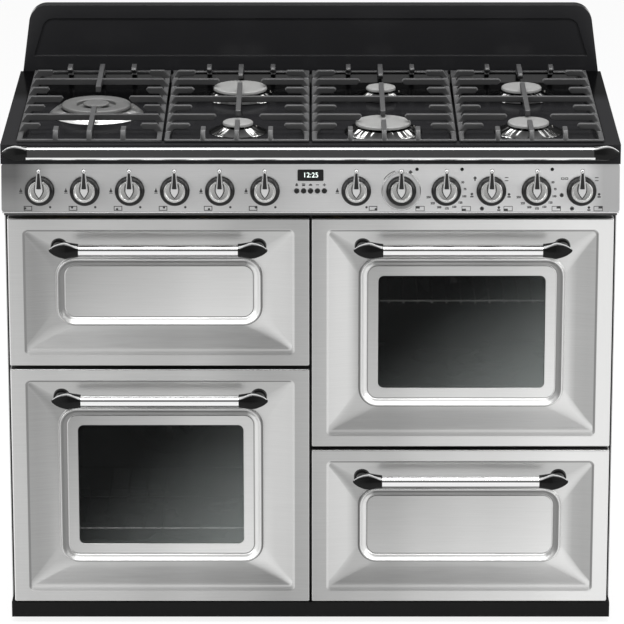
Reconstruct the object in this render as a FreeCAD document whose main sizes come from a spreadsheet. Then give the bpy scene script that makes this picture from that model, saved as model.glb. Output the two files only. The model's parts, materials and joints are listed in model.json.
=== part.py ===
import FreeCAD, Part
import os
import re

import Sketcher
from FreeCAD import Placement, Rotation, Vector

# A 110 cm dual-fuel range cooker. Millimetres and degrees. X runs to the right, Y to the back, Z up.
# Depths in this file count back from the front of the worktop rail.

SIZES = {
    # Whole cooker
    "overall_width": 1100,
    "body_inset": 3,
    "total_depth": 600,
    "fit": 0.2,
    # Heights, from the floor up
    "feet_height": 11,
    "plinth_height": 28,
    "plinth_gap": 1.5,
    "left_oven_front": 445.5,
    "grill_front": 275.6,
    "drawer_front_height": 292.3,
    "front_gap": 6,
    "panel_gap": 17,
    "panel_height": 84.8,
    "worktop_edge": 35.6,
    # Fronts of the doors and the drawer
    "front_setback": 20,
    "front_inset": 6,
    "middle_gap": 4,
    "front_depth": 34,
    "front_corner": 3,
    "skin": 1.5,
    "border_side": 28,
    "border_top": 22,
    "bevel_side": 56,
    "bevel_top": 53,
    "bevel_bottom": 50,
    "bevel_depth": 14,
    "bevel_corner": 7,
    "bead_width": 16,
    "bead_height": 6,
    "bead_corner": 27,
    "window_margin": 18,
    "window_corner": 10,
    "pane": 4,
    "pane_lap": 12,
    "door_liner": 2,
    # Door handles
    "handle_drop": 53,
    "handle_stand": 22,
    "bar_radius": 10.5,
    "bar_side": 124.5,
    "bud_length": 50,
    "bud_radius": 15.5,
    "bud_point": 5,
    "post_radius": 9,
    "post_nut": 4,
    # Door hinges
    "hinge_depth": 4,
    "hinge_rise": 14,
    "hinge_inset": 60,
    "pin_radius": 2,
    "pin_length": 16,
    "pin_play": 0.06,
    "arm_width": 6,
    "block_width": 16,
    "hinge_room": 1,
    # Frame behind the doors
    "frame_gap": 5,
    "frame_depth": 25,
    "frame_head": 6,
    "side_skin": 1.5,
    "side_flange": 22,
    "rear_inset": 15,
    "rear_skin": 1.5,
    "louvre_length": 160,
    "louvre_height": 6,
    "louvre_pitch": 16,
    "louvre_drop": 60,
    "louvre_rows": 10,
    # Cavities
    "cavity_side": 54.5,
    "cavity_back": 170,
    "cavity_corner": 12,
    "grill_head": 39.6,
    "left_oven_head": 59.5,
    "right_oven_head": 42.8,
    "oven_foot": 56,
    "grill_foot": 46,
    "liner_wall": 1.5,
    "ledge": 8,
    "ledge_pitch": 62,
    "seal_width": 8,
    # Fans and elements
    "fan_radius": 62,
    "fan_width": 18,
    "fan_hub": 16,
    "fan_blade": 1.6,
    "fan_shaft": 4,
    "fan_from_wall": 8,
    "cover_radius": 88,
    "cover_slope": 12,
    "cover_skin": 1,
    "slot_start": 22,
    "slot_end": 62,
    "slot_narrow": 10,
    "slot_wide": 18,
    "motor_radius": 34,
    "motor_length": 55,
    "ring_radius": 75,
    "element_radius": 4,
    "grill_element_drop": 24,
    "grill_loop_side": 65,
    "grill_loop_front": 110,
    "grill_loop_back": 50,
    # Shelves
    "wire": 2.5,
    "shelf_wires": 11,
    # Drawer
    "drawer_side": 34.5,
    "drawer_back": 140,
    "drawer_drop": 102.3,
    "drawer_wall": 1.5,
    "drawer_lift": 46,
    "drawer_room": 12,
    "drawer_sill": 20,
    "runner_height": 12,
    "runner_width": 14,
    # Control panel
    "panel_setback": 2,
    "panel_tilt": 10,
    "panel_depth": 20,
    "panel_inset": 1,
    "panel_corner": 5,
    "knob_rise": 37,
    "knob_margin": 70,
    "knob_split": 1,
    "knob_skirt": 26,
    "knob_skirt_height": 7,
    "knob_disc": 20,
    "knob_height": 24,
    "knob_stand": 1,
    "spindle_radius": 4,
    "spindle_length": 14,
    "spindle_hole": 6,
    "lever_width": 5.5,
    "lever_tail": 10,
    "lever_reach": 38.5,
    "lever_rise": 7,
    "lever_tip": 4,
    "bezel_radius": 34.5,
    "bezel_height": 2.5,
    "display_width": 46,
    "display_height": 20,
    "display_rise": 28,
    "button_radius": 4.25,
    "button_pitch": 12.3,
    "button_stand": 3.5,
    "button_stem": 5,
    "button_play": 0.3,
    "lamp_radius": 3,
    "lamp_side": 28,
    "lamp_rise": 38.5,
    "switch_size": 38,
    "switch_depth": 34,
    "tap_radius": 13,
    "tap_length": 34,
    "gas_pipe": 9,
    "inlet_radius": 10.5,
    "inlet_length": 35,
    "inlet_room": 28,
    "inlet_height": 700,
    "inlet_inset": 67,
    # Hob
    "worktop_setback": 14,
    "rail_radius": 12,
    "rail_inset": 2,
    "rail_cap": 44,
    "rail_rise": 15,
    "hob_skin": 1.5,
    "hob_rim": 26,
    "hob_recess": 14,
    "hob_slope": 10,
    "hob_corner": 20,
    "hob_flange": 28,
    # Burners
    "burner_neck": 19,
    "burner_cup": 26,
    "spreader_height": 14,
    "cap_height": 6,
    "small_cap": 27.5,
    "small_base": 52,
    "medium_cap": 37.5,
    "medium_base": 62,
    "large_cap": 50,
    "large_base": 70,
    "wok_cap": 64,
    "wok_hole": 36,
    "wok_core": 24,
    "wok_base": 86,
    "spark_radius": 2,
    # Pan supports
    "grate_side": 26,
    "grate_gap": 5,
    "grate_end": 14,
    "grate_top": 20,
    "grate_frame": 5,
    "grate_bar": 9,
    "grate_drop": 4.8,
    "finger_depth": 11,
    "finger_rise": 10,
    "finger_tip": 6,
    "row_margin": 62.5,
    "long_tip": 38,
    "short_tip": 83,
    "wok_long_tip": 60,
    "wok_short_tip": 89,
    "prong_side": 60,
    "prong_reach": 46,
    "spine_reach": 94,
    "wok_ring": 75,
    # Splashback
    "splash_rise": 128,
    "splash_top_inset": 22,
    "splash_corner": 34,
    "splash_depth": 25,
    "splash_margin": 26,
    "splash_margin_low": 30,
    "splash_press": 4,
    # Feet
    "foot_radius": 20,
    "foot_edge": 5,
    "foot_thread": 14,
    "plinth_wall": 3,
    "foot_stem": 5,
    "foot_inset": 70,
}

# Sizes that follow from others

DERIVED = {
    "body_width": "(overall_width - 2*body_inset)",
    "front_width": "(body_width/2 - front_inset - middle_gap/2)",
    "bar_length": "(front_width - 2*bar_side)",
    "cavity_width": "(front_width - 2*cavity_side)",
    "cavity_depth": "(total_depth - cavity_back)",
    "grill_cavity": "(grill_front - grill_foot - grill_head)",
    "left_cavity": "(left_oven_front - oven_foot - left_oven_head)",
    "right_cavity": "(right_oven_front - oven_foot - right_oven_head)",
    "right_oven_front": "(left_oven_front + grill_front - drawer_front_height)",
    "grill_loop_width": "(cavity_width - 2*grill_loop_side)",
    "grill_loop_depth": "(cavity_depth - grill_loop_front)",
    "drawer_width": "(front_width - 2*drawer_side)",
    "drawer_depth": "(total_depth - drawer_back)",
    "drawer_height": "(drawer_front_height - drawer_drop)",
    "panel_width": "(overall_width - 2*panel_inset)",
    "knob_pitch": "((overall_width - 2*knob_margin)/12)",
    "inlet_side": "(body_width/2 - inlet_inset)",
    "rail_end": "(overall_width/2 - rail_inset)",
    "hob_end": "(total_depth - splash_depth)",
    "grate_pitch": "((overall_width - 2*grate_side)/4)",
    "grate_width": "(grate_pitch - grate_gap)",
    "grate_middle": "((worktop_setback + hob_end)/2)",
    "grate_front": "((hob_end - worktop_setback)/2 - grate_end)",
    "finger_row": "((grate_front - row_margin)/3)",
    "burner_offset": "(grate_front/2)",
}

doc = FreeCAD.newDocument("range_cooker")
sheet = doc.addObject("Spreadsheet::Sheet", "sizes")
nodes = []


def fill_sheet():
    for row, (alias, number) in enumerate(SIZES.items(), 1):
        sheet.set("A%d" % row, alias)
        sheet.set("B%d" % row, str(number))
        sheet.setAlias("B%d" % row, alias)
    doc.recompute()


# Formulas shared by the pieces, written with the names of the sheet's cells

PLINTH_TOP = "(feet_height + plinth_height)"
FRONT_FOOT = f"({PLINTH_TOP} + plinth_gap)"
GRILL_FOOT = f"({FRONT_FOOT} + left_oven_front + front_gap)"
STACK_TOP = f"({GRILL_FOOT} + grill_front)"
RIGHT_OVEN_FOOT = f"({FRONT_FOOT} + drawer_front_height + front_gap)"
PANEL_FOOT = f"({STACK_TOP} + panel_gap)"
PANEL_TOP = f"({PANEL_FOOT} + panel_height)"
WORKTOP = f"({PANEL_TOP} + worktop_edge)"
FRAME_TOP = f"({STACK_TOP} + frame_head)"
FRONT_WIDTH = "front_width"
COLUMN = f"(middle_gap/2 + {FRONT_WIDTH}/2)"
KNOB_Z = f"({PANEL_FOOT} + knob_rise)"
KNOB_DEPTH = "(panel_setback + knob_rise*tan(panel_tilt))"
KNOB_REACH = f"((knob_height + lever_rise)*cos(panel_tilt) - {KNOB_DEPTH})"
FRAME_FRONT = "(front_setback + front_depth + frame_gap)"
CAVITY_END = f"({FRAME_FRONT} + cavity_depth + liner_wall)"
REAR_FACE = "(total_depth - rear_inset)"
HOB_FLOOR = f"({WORKTOP} - hob_recess)"
FAN_FRONT = f"({FRAME_FRONT} + cavity_depth - fan_from_wall - fan_width)"
PANEL_TURN = "90 - panel_tilt"
FRONT_TURN = "90"


def depth(formula):
    """Y of a depth, with the cooker's box centred on the origin."""
    return f"({formula}) - (total_depth - {KNOB_REACH})/2"


# Helpers that make document objects and bind them to the sheet

def cells(formula):
    """The formula with derived sizes written out and every cell name written as a cell of the sheet."""
    text = str(formula)
    while any(word in DERIVED for word in re.findall(r"[a-z_]+", text)):
        text = re.sub(r"[a-z_]+", lambda m: DERIVED.get(m[0], m[0]), text)
    return re.sub(r"[a-z_]+", lambda m: "sizes." + m[0] if m[0] in SIZES else m[0], text)


def bind(thing, prop, formula):
    thing.setExpression(prop, cells(formula))


def value(formula):
    return float(sheet.evalExpression(cells(formula)))


def put(thing, x, y, z, turn=None, axis=Vector(1, 0, 0)):
    """Bind the place of an object, and its turn about an axis."""
    thing.Placement = Placement(Vector(), Rotation(axis, 1 if turn else 0))
    for prop, formula in zip("xyz", (x, y, z)):
        bind(thing, "Placement.Base." + prop, formula)
    if turn:
        bind(thing, "Placement.Rotation.Angle", turn)
    return thing


def box(name, length, width, height, x, y, z):
    part = doc.addObject("Part::Box", name)
    for prop, formula in zip(("Length", "Width", "Height"), (length, width, height)):
        bind(part, prop, formula)
    return put(part, x, y, z)


def rod(name, radius, length, x, y, z, along="z"):
    """A cylinder from a point along X, Y or Z."""
    part = doc.addObject("Part::Cylinder", name)
    bind(part, "Radius", radius)
    bind(part, "Height", length)
    if along == "x":
        return put(part, x, y, z, "90", Vector(0, 1, 0))
    if along == "y":
        return put(part, x, y, z, "90", Vector(-1, 0, 0))
    return put(part, x, y, z)


def body(name, x=0, y=0, z=0, turn=None, axis=Vector(1, 0, 0)):
    return put(doc.addObject("PartDesign::Body", name), x, y, z, turn, axis)


def sketch(owner, plane="XY_Plane", offset=0):
    """An empty sketch on one of the body's own planes, moved along its normal."""
    drawn = owner.newObject("Sketcher::SketchObject", owner.Name + "_sketch")
    base = [item for item in owner.Origin.OriginFeatures if item.Role == plane]
    drawn.AttachmentSupport = [(base[0], "")]
    drawn.MapMode = "FlatFace"
    bind(drawn, "AttachmentOffset.Base.z", offset)
    return drawn


def pin_point(drawn, geometry, point, x, y):
    """Hold a sketch point at two bound distances from the origin."""
    for kind, formula in (("DistanceX", x), ("DistanceY", y)):
        rule = Sketcher.Constraint(kind, -1, 1, geometry, point, value(formula))
        bind(drawn, "Constraints[%d]" % drawn.addConstraint(rule), formula)


def polygon(drawn, corners):
    """A closed outline of straight lines through bound corners."""
    places = [Vector(value(x), value(y), 0) for x, y in corners]
    count = len(corners)
    first = drawn.GeometryCount
    for i in range(count):
        drawn.addGeometry(Part.LineSegment(places[i], places[(i + 1) % count]), False)
    for i in range(count):
        drawn.addConstraint(Sketcher.Constraint("Coincident", first + i, 2, first + (i + 1) % count, 1))
    for i, (x, y) in enumerate(corners):
        pin_point(drawn, first + i, 1, x, y)
    return drawn


def round_rect(drawn, width, height, radius, x=0, y=0):
    """A rectangle with round corners about a bound middle."""
    first = drawn.GeometryCount
    signs = ((1, 1), (-1, 1), (-1, -1), (1, -1))
    r = value(radius)
    middles = [Vector(value(x) + i * (value(width) / 2 - r), value(y) + j * (value(height) / 2 - r), 0)
               for i, j in signs]
    quarter = 1.5707963267948966
    for i, middle in enumerate(middles):
        circle = Part.Circle(middle, Vector(0, 0, 1), r)
        drawn.addGeometry(Part.ArcOfCircle(circle, i * quarter, (i + 1) * quarter), False)
    arcs = [drawn.Geometry[first + i] for i in range(4)]
    for i in range(4):
        drawn.addGeometry(Part.LineSegment(arcs[i].EndPoint, arcs[(i + 1) % 4].StartPoint), False)
    for i, (a, b) in enumerate(signs):
        side = first + 4 + i
        drawn.addConstraint(Sketcher.Constraint("Tangent", first + i, 2, side, 1))
        drawn.addConstraint(Sketcher.Constraint("Tangent", side, 2, first + (i + 1) % 4, 1))
    for i, (a, b) in enumerate(signs):
        pin_point(drawn, first + i, 3, f"({x}) + {a}*(({width})/2 - ({radius}))",
                  f"({y}) + {b}*(({height})/2 - ({radius}))")
        rule = Sketcher.Constraint("Radius", first + i, r)
        bind(drawn, "Constraints[%d]" % drawn.addConstraint(rule), radius)
    return drawn


def pad(owner, drawn, length, back=False):
    made = owner.newObject("PartDesign::Pad", owner.Name + "_pad")
    made.Profile = drawn
    bind(made, "Length", length)
    made.Reversed = back
    return made


def pocket(owner, drawn, length):
    """Cut against the sketch's normal."""
    made = owner.newObject("PartDesign::Pocket", owner.Name + "_pocket")
    made.Profile = drawn
    bind(made, "Length", length)
    return made


def prism(name, corners, length, x=0, y=0, z=0, turn=None, axis=Vector(1, 0, 0), back=False):
    """A profile of straight lines, drawn flat and padded."""
    made = body(name, x, y, z, turn, axis)
    pad(made, polygon(sketch(made), corners), length, back)
    return made


def slab(name, width, height, radius, length, x=0, y=0, offset=0):
    """A round-cornered plate in the local frame, from an offset backwards."""
    made = body(name)
    pad(made, round_rect(sketch(made, offset=offset), width, height, radius, x, y), length, True)
    return made


def revolve(name, profile, x=0, y=0, z=0, turn=None, axis=Vector(1, 0, 0)):
    """A profile of radius and height, turned about the body's own Z."""
    made = body(name, x, y, z, turn, axis)
    drawn = polygon(sketch(made, "XZ_Plane"), profile)
    turned = made.newObject("PartDesign::Revolution", name + "_turn")
    turned.Profile = drawn
    turned.ReferenceAxis = (drawn, ["V_Axis"])
    turned.Angle = 360
    return made


def loft(name, sections):
    """A body through round-cornered sections: width, height, radius, middle height, offset."""
    made = body(name)
    drawn = [round_rect(sketch(made, offset=at), wide, high, radius, 0, middle)
             for wide, high, radius, middle, at in sections]
    through = made.newObject("PartDesign::AdditiveLoft", name + "_loft")
    through.Profile = drawn[0]
    through.Sections = drawn[1:]
    through.Ruled = True
    return made


def fuse(name, *parts):
    made = doc.addObject("Part::MultiFuse", name)
    made.Shapes = list(parts)
    return made


def cut(name, base, *tools):
    made = doc.addObject("Part::Cut", name)
    made.Base = base
    made.Tool = tools[0] if len(tools) == 1 else fuse(name + "_tools", *tools)
    return made


def place(name, parts, x, y, z, turn=None):
    """A group of solids built in a local frame and set in its place."""
    made = doc.addObject("Part::Compound", name)
    made.Links = list(parts)
    return put(made, x, y, z, turn)


def node(label, *parts):
    """Name a sub-part. Several solids become one group."""
    made = parts[0] if len(parts) == 1 else place(label + "_group", parts, 0, 0, 0)
    made.Label = label
    nodes.append(made)
    return made


def mirrored(offset):
    """The formulas of a distance to the left and to the right."""
    return (f"-({offset})", f"({offset})")


# Pressed fronts of the doors and the drawer, built about their own middle with Z towards the viewer

def bevel_middle():
    return "((bevel_bottom - bevel_top)/2)"


def bead_size(height):
    wide = f"({FRONT_WIDTH} - 2*border_side - 2*bevel_side)"
    high = f"(({height}) - 2*border_top - bevel_top - bevel_bottom)"
    return wide, high


def window_size(height):
    wide, high = bead_size(height)
    return f"({wide} - 2*bead_width - 2*window_margin)", f"({high} - 2*bead_width - 2*window_margin)"


def half_round(drawn, x, y, width, rise):
    """A low arch on a level chord."""
    radius = f"((({width})^2/4 + ({rise})^2)/(2*({rise})))"
    middle = f"({y}) + ({rise}) - {radius}"
    centre = Vector(value(x), value(middle), 0)
    start = Vector(value(x) + value(width)/2, value(y), 0)
    top = Vector(value(x), value(y) + value(rise), 0)
    end = Vector(value(x) - value(width)/2, value(y), 0)
    drawn.addGeometry(Part.Arc(start, top, end), False)
    drawn.addGeometry(Part.LineSegment(end, start), False)
    drawn.addConstraint(Sketcher.Constraint("Coincident", 0, 2, 1, 1))
    drawn.addConstraint(Sketcher.Constraint("Coincident", 1, 2, 0, 1))
    drawn.addConstraint(Sketcher.Constraint("Horizontal", 1))
    pin_point(drawn, 0, 3, x, middle)
    rule = Sketcher.Constraint("DistanceX", -1, 1, 1, 2, start.x)
    bind(drawn, "Constraints[%d]" % drawn.addConstraint(rule), f"({x}) + ({width})/2")
    rule = Sketcher.Constraint("DistanceY", -1, 1, 1, 2, start.y)
    bind(drawn, "Constraints[%d]" % drawn.addConstraint(rule), y)
    return drawn


def bead(name, height):
    """The half-round bead pressed round the middle panel."""
    made = body(name)
    wide, high = bead_size(height)
    path = sketch(made, offset="-bevel_depth")
    round_rect(path, f"{wide} - bead_width", f"{high} - bead_width", "bead_corner - bead_width/2",
               0, bevel_middle())
    across = sketch(made, "YZ_Plane")
    ridge = f"({bevel_middle()} + {high}/2 - bead_width/2)"
    half_round(across, ridge, "-bevel_depth - skin/2", "bead_width", "bead_height + skin/2")
    swept = made.newObject("PartDesign::AdditivePipe", name + "_pipe")
    swept.Profile = across
    swept.Spine = (path, ["Edge%d" % (i + 1) for i in range(8)])
    return made


def dish(name, height, grow):
    """The concave bevel, as the solid that is taken away in front of it."""
    wide, high = bead_size(height)
    outer = (f"{FRONT_WIDTH} - 2*border_side + 2*({grow})", f"({height}) - 2*border_top + 2*({grow})",
             f"bevel_corner + ({grow})", 0, 0)
    waist = (f"{wide} + bevel_side + 2*({grow})", f"{high} + (bevel_top + bevel_bottom)/2 + 2*({grow})",
             f"(bevel_corner + bead_corner)/2 + ({grow})", f"{bevel_middle()}/2",
             f"-bevel_depth*0.72 - ({grow})")
    inner = (f"{wide} + 2*({grow})", f"{high} + 2*({grow})", f"bead_corner + ({grow})", bevel_middle(),
             f"-bevel_depth - ({grow})")
    return loft(name, [outer, waist, inner])


def hinge_notches(key, height):
    """Slots in which the hinge arms swing."""
    foot = f"(-({height})/2)"
    return [box(key + "_notch", "arm_width + 2*hinge_room", "hinge_rise + pin_radius + hinge_room",
                "front_depth - hinge_depth + pin_radius + 0.25",
                f"{x} - arm_width/2 - hinge_room", foot, "-front_depth")
            for x in mirrored(f"{FRONT_WIDTH}/2 - hinge_inset")]


def front_skin(key, height, window, hinged):
    """The pressed steel sheet of a front, open at the back."""
    block = slab(key + "_block", FRONT_WIDTH, height, "front_corner", "front_depth")
    hollow = slab(key + "_hollow", f"{FRONT_WIDTH} - 2*skin", f"({height}) - 2*skin", "front_corner - skin/2",
                  "front_depth", offset="-skin")
    inside = cut(key + "_inside", hollow, dish(key + "_dish_back", height, "skin"))
    sheet_metal = cut(key + "_sheet", cut(key + "_dished", block, dish(key + "_dish", height, "0")), inside)
    tools = [rod(key + "_post_hole", "post_radius + fit", "front_depth", x, handle_height(height),
                 "-front_depth") for x in mirrored("bar_length/2 + bud_length/2")]
    if window:
        wide, high = window_size(height)
        tools.append(slab(key + "_opening", wide, high, "window_corner", "front_depth", 0, bevel_middle()))
    if hinged:
        tools += hinge_notches(key + "_skin", height)
    return cut(key + "_pressed", fuse(key + "_beaded", sheet_metal, bead(key + "_bead", height)), *tools)


def handle_height(height):
    return f"(({height})/2 - handle_drop)"


def handle(key, height):
    """A round bar between two bud-shaped ends on posts."""
    high = handle_height(height)
    bar = rod(key + "_bar", "bar_radius", "bar_length", "-bar_length/2", high, "handle_stand", "x")
    ends = []
    for side, turn in ((1, "90"), (-1, "-90")):
        bud = revolve(key + "_bud", [("0", "0"), ("bar_radius + 1", "0"), ("bud_radius", "bud_length*0.42"),
                                     ("bud_radius*0.9", "bud_length*0.66"), ("bud_point", "bud_length"),
                                     ("0", "bud_length")],
                      f"{side}*bar_length/2", high, "handle_stand", turn, Vector(0, 1, 0))
        post = rod(key + "_post", "post_radius", "handle_stand + bevel_depth + skin + post_nut",
                   f"{side}*(bar_length/2 + bud_length/2)", high, "-bevel_depth - skin - post_nut")
        ends.append(fuse(key + "_end", bud, post))
    return [bar] + ends


def door_liner(key, height, window):
    """The inner sheet of a door, with the blocks that the hinge pins turn in."""
    wide = f"({FRONT_WIDTH} - 2*skin - 2*fit)"
    high = f"(({height}) - 2*skin - 2*fit)"
    sheet_metal = slab(key + "_liner_sheet", wide, high, "front_corner - skin/2", "door_liner",
                       offset="door_liner - front_depth")
    pin_y = f"(-({height})/2 + hinge_rise)"
    blocks = []
    bores = hinge_notches(key + "_liner", height)
    for side, x in zip((-1, 1), mirrored(f"{FRONT_WIDTH}/2 - hinge_inset")):
        start = f"({x} + {side}*(arm_width/2 + hinge_room + block_width/2) - block_width/2)"
        blocks.append(box(key + "_block", "block_width", "border_top - 2*skin - 2",
                          "front_depth - skin - fit", start, f"-({height})/2 + skin + fit", "-front_depth"))
        bores.append(rod(key + "_bore", "pin_radius + pin_play", "block_width + 2", f"{start} - 1", pin_y,
                         "-hinge_depth", "x"))
    if window:
        w_wide, w_high = window_size(height)
        bores.append(slab(key + "_liner_opening", w_wide, w_high, "window_corner", "front_depth", 0,
                          bevel_middle()))
    return cut(key + "_liner_cut", fuse(key + "_liner_solid", sheet_metal, *blocks), *bores)


def panes(key, height):
    """The outer pane behind the pressed front and the inner pane on the liner."""
    wide, high = window_size(height)
    size = (f"{wide} + 2*pane_lap", f"{high} + 2*pane_lap", "window_corner")
    outer = slab(key + "_pane", *size, "pane", 0, bevel_middle(), "-bevel_depth - skin")
    inner = slab(key + "_inner_pane", *size, "pane", 0, bevel_middle(), "door_liner + pane - front_depth")
    return [outer, inner]


def hinge_arms(key, height):
    """Arms of the frame with the pins that a door turns on, in the door's own frame."""
    pin_y = f"(-({height})/2 + hinge_rise)"
    made = []
    for side, x in zip((-1, 1), mirrored(f"{FRONT_WIDTH}/2 - hinge_inset")):
        arm = box(key + "_arm", "arm_width", "2*pin_radius", "front_depth + frame_gap - hinge_depth",
                  f"{x} - arm_width/2", f"{pin_y} - pin_radius", "-front_depth - frame_gap")
        length = "(arm_width/2 + hinge_room + pin_length)"
        start = x if side > 0 else f"{x} - {length}"
        pin = rod(key + "_pin", "pin_radius", length, start, pin_y, "-hinge_depth", "x")
        made.append(fuse(key + "_arm_and_pin", arm, pin))
    return made


FRONTS = {
    "grill_door": (-1, GRILL_FOOT, "grill_front", False),
    "left_oven_door": (-1, FRONT_FOOT, "left_oven_front", True),
    "right_oven_door": (1, RIGHT_OVEN_FOOT, "right_oven_front", True),
    "drawer": (1, FRONT_FOOT, "drawer_front_height", False),
}


def front_place(key):
    side, foot, height, window = FRONTS[key]
    return f"{side}*{COLUMN}", depth("front_setback"), f"{foot} + ({height})/2", FRONT_TURN


def fronts():
    for key, (side, foot, height, window) in FRONTS.items():
        hinged = key != "drawer"
        where = front_place(key)
        skin_name = key + "_front" if key == "drawer" else key + "_skin"
        node(skin_name, place(key + "_skin_at", [front_skin(key, height, window, hinged)], *where))
        node(key + "_handle", place(key + "_handle_at", handle(key, height), *where))
        if hinged:
            node(key + "_liner", place(key + "_liner_at", [door_liner(key, height, window)], *where))
        if window:
            node(key + "_glass", place(key + "_glass_at", panes(key, height), *where))


# Frame, outer panels, plinth and feet

CAVITIES = {
    "grill": (-1, f"({GRILL_FOOT} + grill_foot)", "grill_cavity"),
    "left_oven": (-1, f"({FRONT_FOOT} + oven_foot)", "left_cavity"),
    "right_oven": (1, f"({RIGHT_OVEN_FOOT} + oven_foot)", "right_cavity"),
}
DRAWER_FOOT = f"({FRONT_FOOT} + drawer_sill)"
DRAWER_HEAD = f"({FRONT_FOOT} + drawer_lift + drawer_height + drawer_room)"


def frame_bar(left, right, foot, head):
    """A flat bar of the front frame between two sides and two heights."""
    return box("frame_bar", f"({right}) - ({left})", "frame_depth", f"({head}) - ({foot})", left,
               depth(FRAME_FRONT), foot)


def chassis():
    """The front frame, welded from flat bars round the openings, the shelf above and the hinge arms."""
    half = "(body_width/2 - side_skin - fit)"
    reach = "(cavity_width/2 + liner_wall + fit)"
    bay = "(drawer_width/2 + runner_width + 2)"
    edges = {key: (f"({foot} - liner_wall - fit)", f"({foot} + {height} + liner_wall + fit)")
             for key, (side, foot, height) in CAVITIES.items()}
    outer_left = f"(-{COLUMN} - {reach})"
    inner_left = f"(-{COLUMN} + {reach})"
    inner_bay = f"({COLUMN} - {bay})"
    outer_bay = f"({COLUMN} + {bay})"
    inner_right = f"({COLUMN} - {reach})"
    outer_right = f"({COLUMN} + {reach})"
    bars = [
        frame_bar(f"-{half}", outer_left, PLINTH_TOP, FRAME_TOP),
        frame_bar(inner_left, inner_bay, PLINTH_TOP, FRAME_TOP),
        frame_bar(outer_bay, half, PLINTH_TOP, FRAME_TOP),
        frame_bar(outer_left, inner_left, PLINTH_TOP, edges["left_oven"][0]),
        frame_bar(outer_left, inner_left, edges["left_oven"][1], edges["grill"][0]),
        frame_bar(outer_left, inner_left, edges["grill"][1], FRAME_TOP),
        frame_bar(inner_bay, outer_bay, PLINTH_TOP, DRAWER_FOOT),
        frame_bar(inner_bay, outer_bay, DRAWER_HEAD, edges["right_oven"][0]),
        frame_bar(inner_bay, inner_right, edges["right_oven"][0], FRAME_TOP),
        frame_bar(outer_right, outer_bay, edges["right_oven"][0], FRAME_TOP),
        frame_bar(inner_right, outer_right, edges["right_oven"][1], FRAME_TOP),
    ]
    shelf = box("chassis_shelf", f"2*{half}", f"{REAR_FACE} - {FRAME_FRONT}", "side_skin", f"-{half}",
                depth(FRAME_FRONT), FRAME_TOP)
    pipe_hole = rod("shelf_hole", "gas_pipe + 2", "20", "-inlet_side", depth(f"{REAR_FACE} - 40"),
                    f"{FRAME_TOP} - 10")
    arms = [place(key + "_arms", hinge_arms(key, FRONTS[key][2]), *front_place(key))
            for key in FRONTS if key != "drawer"]
    node("chassis", *bars, cut("chassis_shelf_cut", shelf, pipe_hole), *arms)


def outer_panels():
    sides = []
    for side in (-1, 1):
        face = f"{side}*body_width/2"
        wall = f"{side}*(body_width/2 - side_skin)"
        lip = f"{side}*(body_width/2 - side_flange)"
        front = depth("front_setback + front_depth - 6")
        back = depth("total_depth")
        sides.append(prism("side_panel", [(face, front), (face, back), (lip, back), (lip, f"{back} - side_skin"),
                                          (wall, f"{back} - side_skin"), (wall, front)],
                           f"{PANEL_TOP} - {PLINTH_TOP}", 0, 0, PLINTH_TOP))
    node("side_panels", *sides)
    rear = body("rear_sheet", 0, depth(f"{REAR_FACE} + rear_skin"), 0, FRONT_TURN)
    half = "body_width/2 - side_skin - fit"
    pad(rear, polygon(sketch(rear), [(f"-({half})", PLINTH_TOP), (half, PLINTH_TOP), (half, PANEL_TOP),
                                     (f"-({half})", PANEL_TOP)]), "rear_skin", True)
    slots = sketch(rear)
    for x in mirrored(COLUMN):
        left = f"({x} - louvre_length/2)"
        right = f"({x} + louvre_length/2)"
        low = f"({STACK_TOP} - louvre_drop)"
        polygon(slots, [(left, low), (right, low), (right, f"{low} + louvre_height"),
                        (left, f"{low} + louvre_height")])
    louvres = pocket(rear, slots, "rear_skin + 1")
    rows = rear.newObject("PartDesign::LinearPattern", "louvre_rows")
    rows.Originals = [louvres]
    rows.Direction = (slots, ["V_Axis"])
    rows.Reversed = True
    bind(rows, "Length", "(louvre_rows - 1)*louvre_pitch")
    bind(rows, "Occurrences", "louvre_rows")
    rear.Tip = rows
    pipe_hole = rod("inlet_hole", "inlet_room", "10", "-inlet_side", depth(f"{REAR_FACE} - 4"),
                    "inlet_height", "y")
    node("rear_panel", cut("rear_drilled", rear, pipe_hole))


def plinth_and_feet():
    front = "front_setback"
    tray = box("plinth_block", "body_width", "total_depth - front_setback", "plinth_height", "-body_width/2",
               depth(front), "feet_height")
    inside = box("plinth_inside", "body_width - 2*plinth_wall", "total_depth - front_setback - 2*plinth_wall",
                 "plinth_height - plinth_wall", "-body_width/2 + plinth_wall", depth(front + " + plinth_wall"),
                 "feet_height")
    spots = [(x, depth(y)) for x in mirrored("body_width/2 - foot_inset")
             for y in ("front_setback + foot_inset", "total_depth - foot_inset")]
    holes = [rod("foot_hole", "foot_stem + fit", "10", x, y, f"{PLINTH_TOP} - 5") for x, y in spots]
    node("plinth", cut("plinth_tray", tray, inside, *holes))
    profile = [("0", "0"), ("foot_radius", "0"), ("foot_radius", "foot_edge"), ("foot_stem + 4", "feet_height"),
               ("foot_stem", "feet_height"), ("foot_stem", "feet_height + plinth_height + foot_thread"),
               ("0", "feet_height + plinth_height + foot_thread")]
    node("levelling_feet", *[revolve("foot", profile, x, y) for x, y in spots])


# Cavities with what they hold

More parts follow.
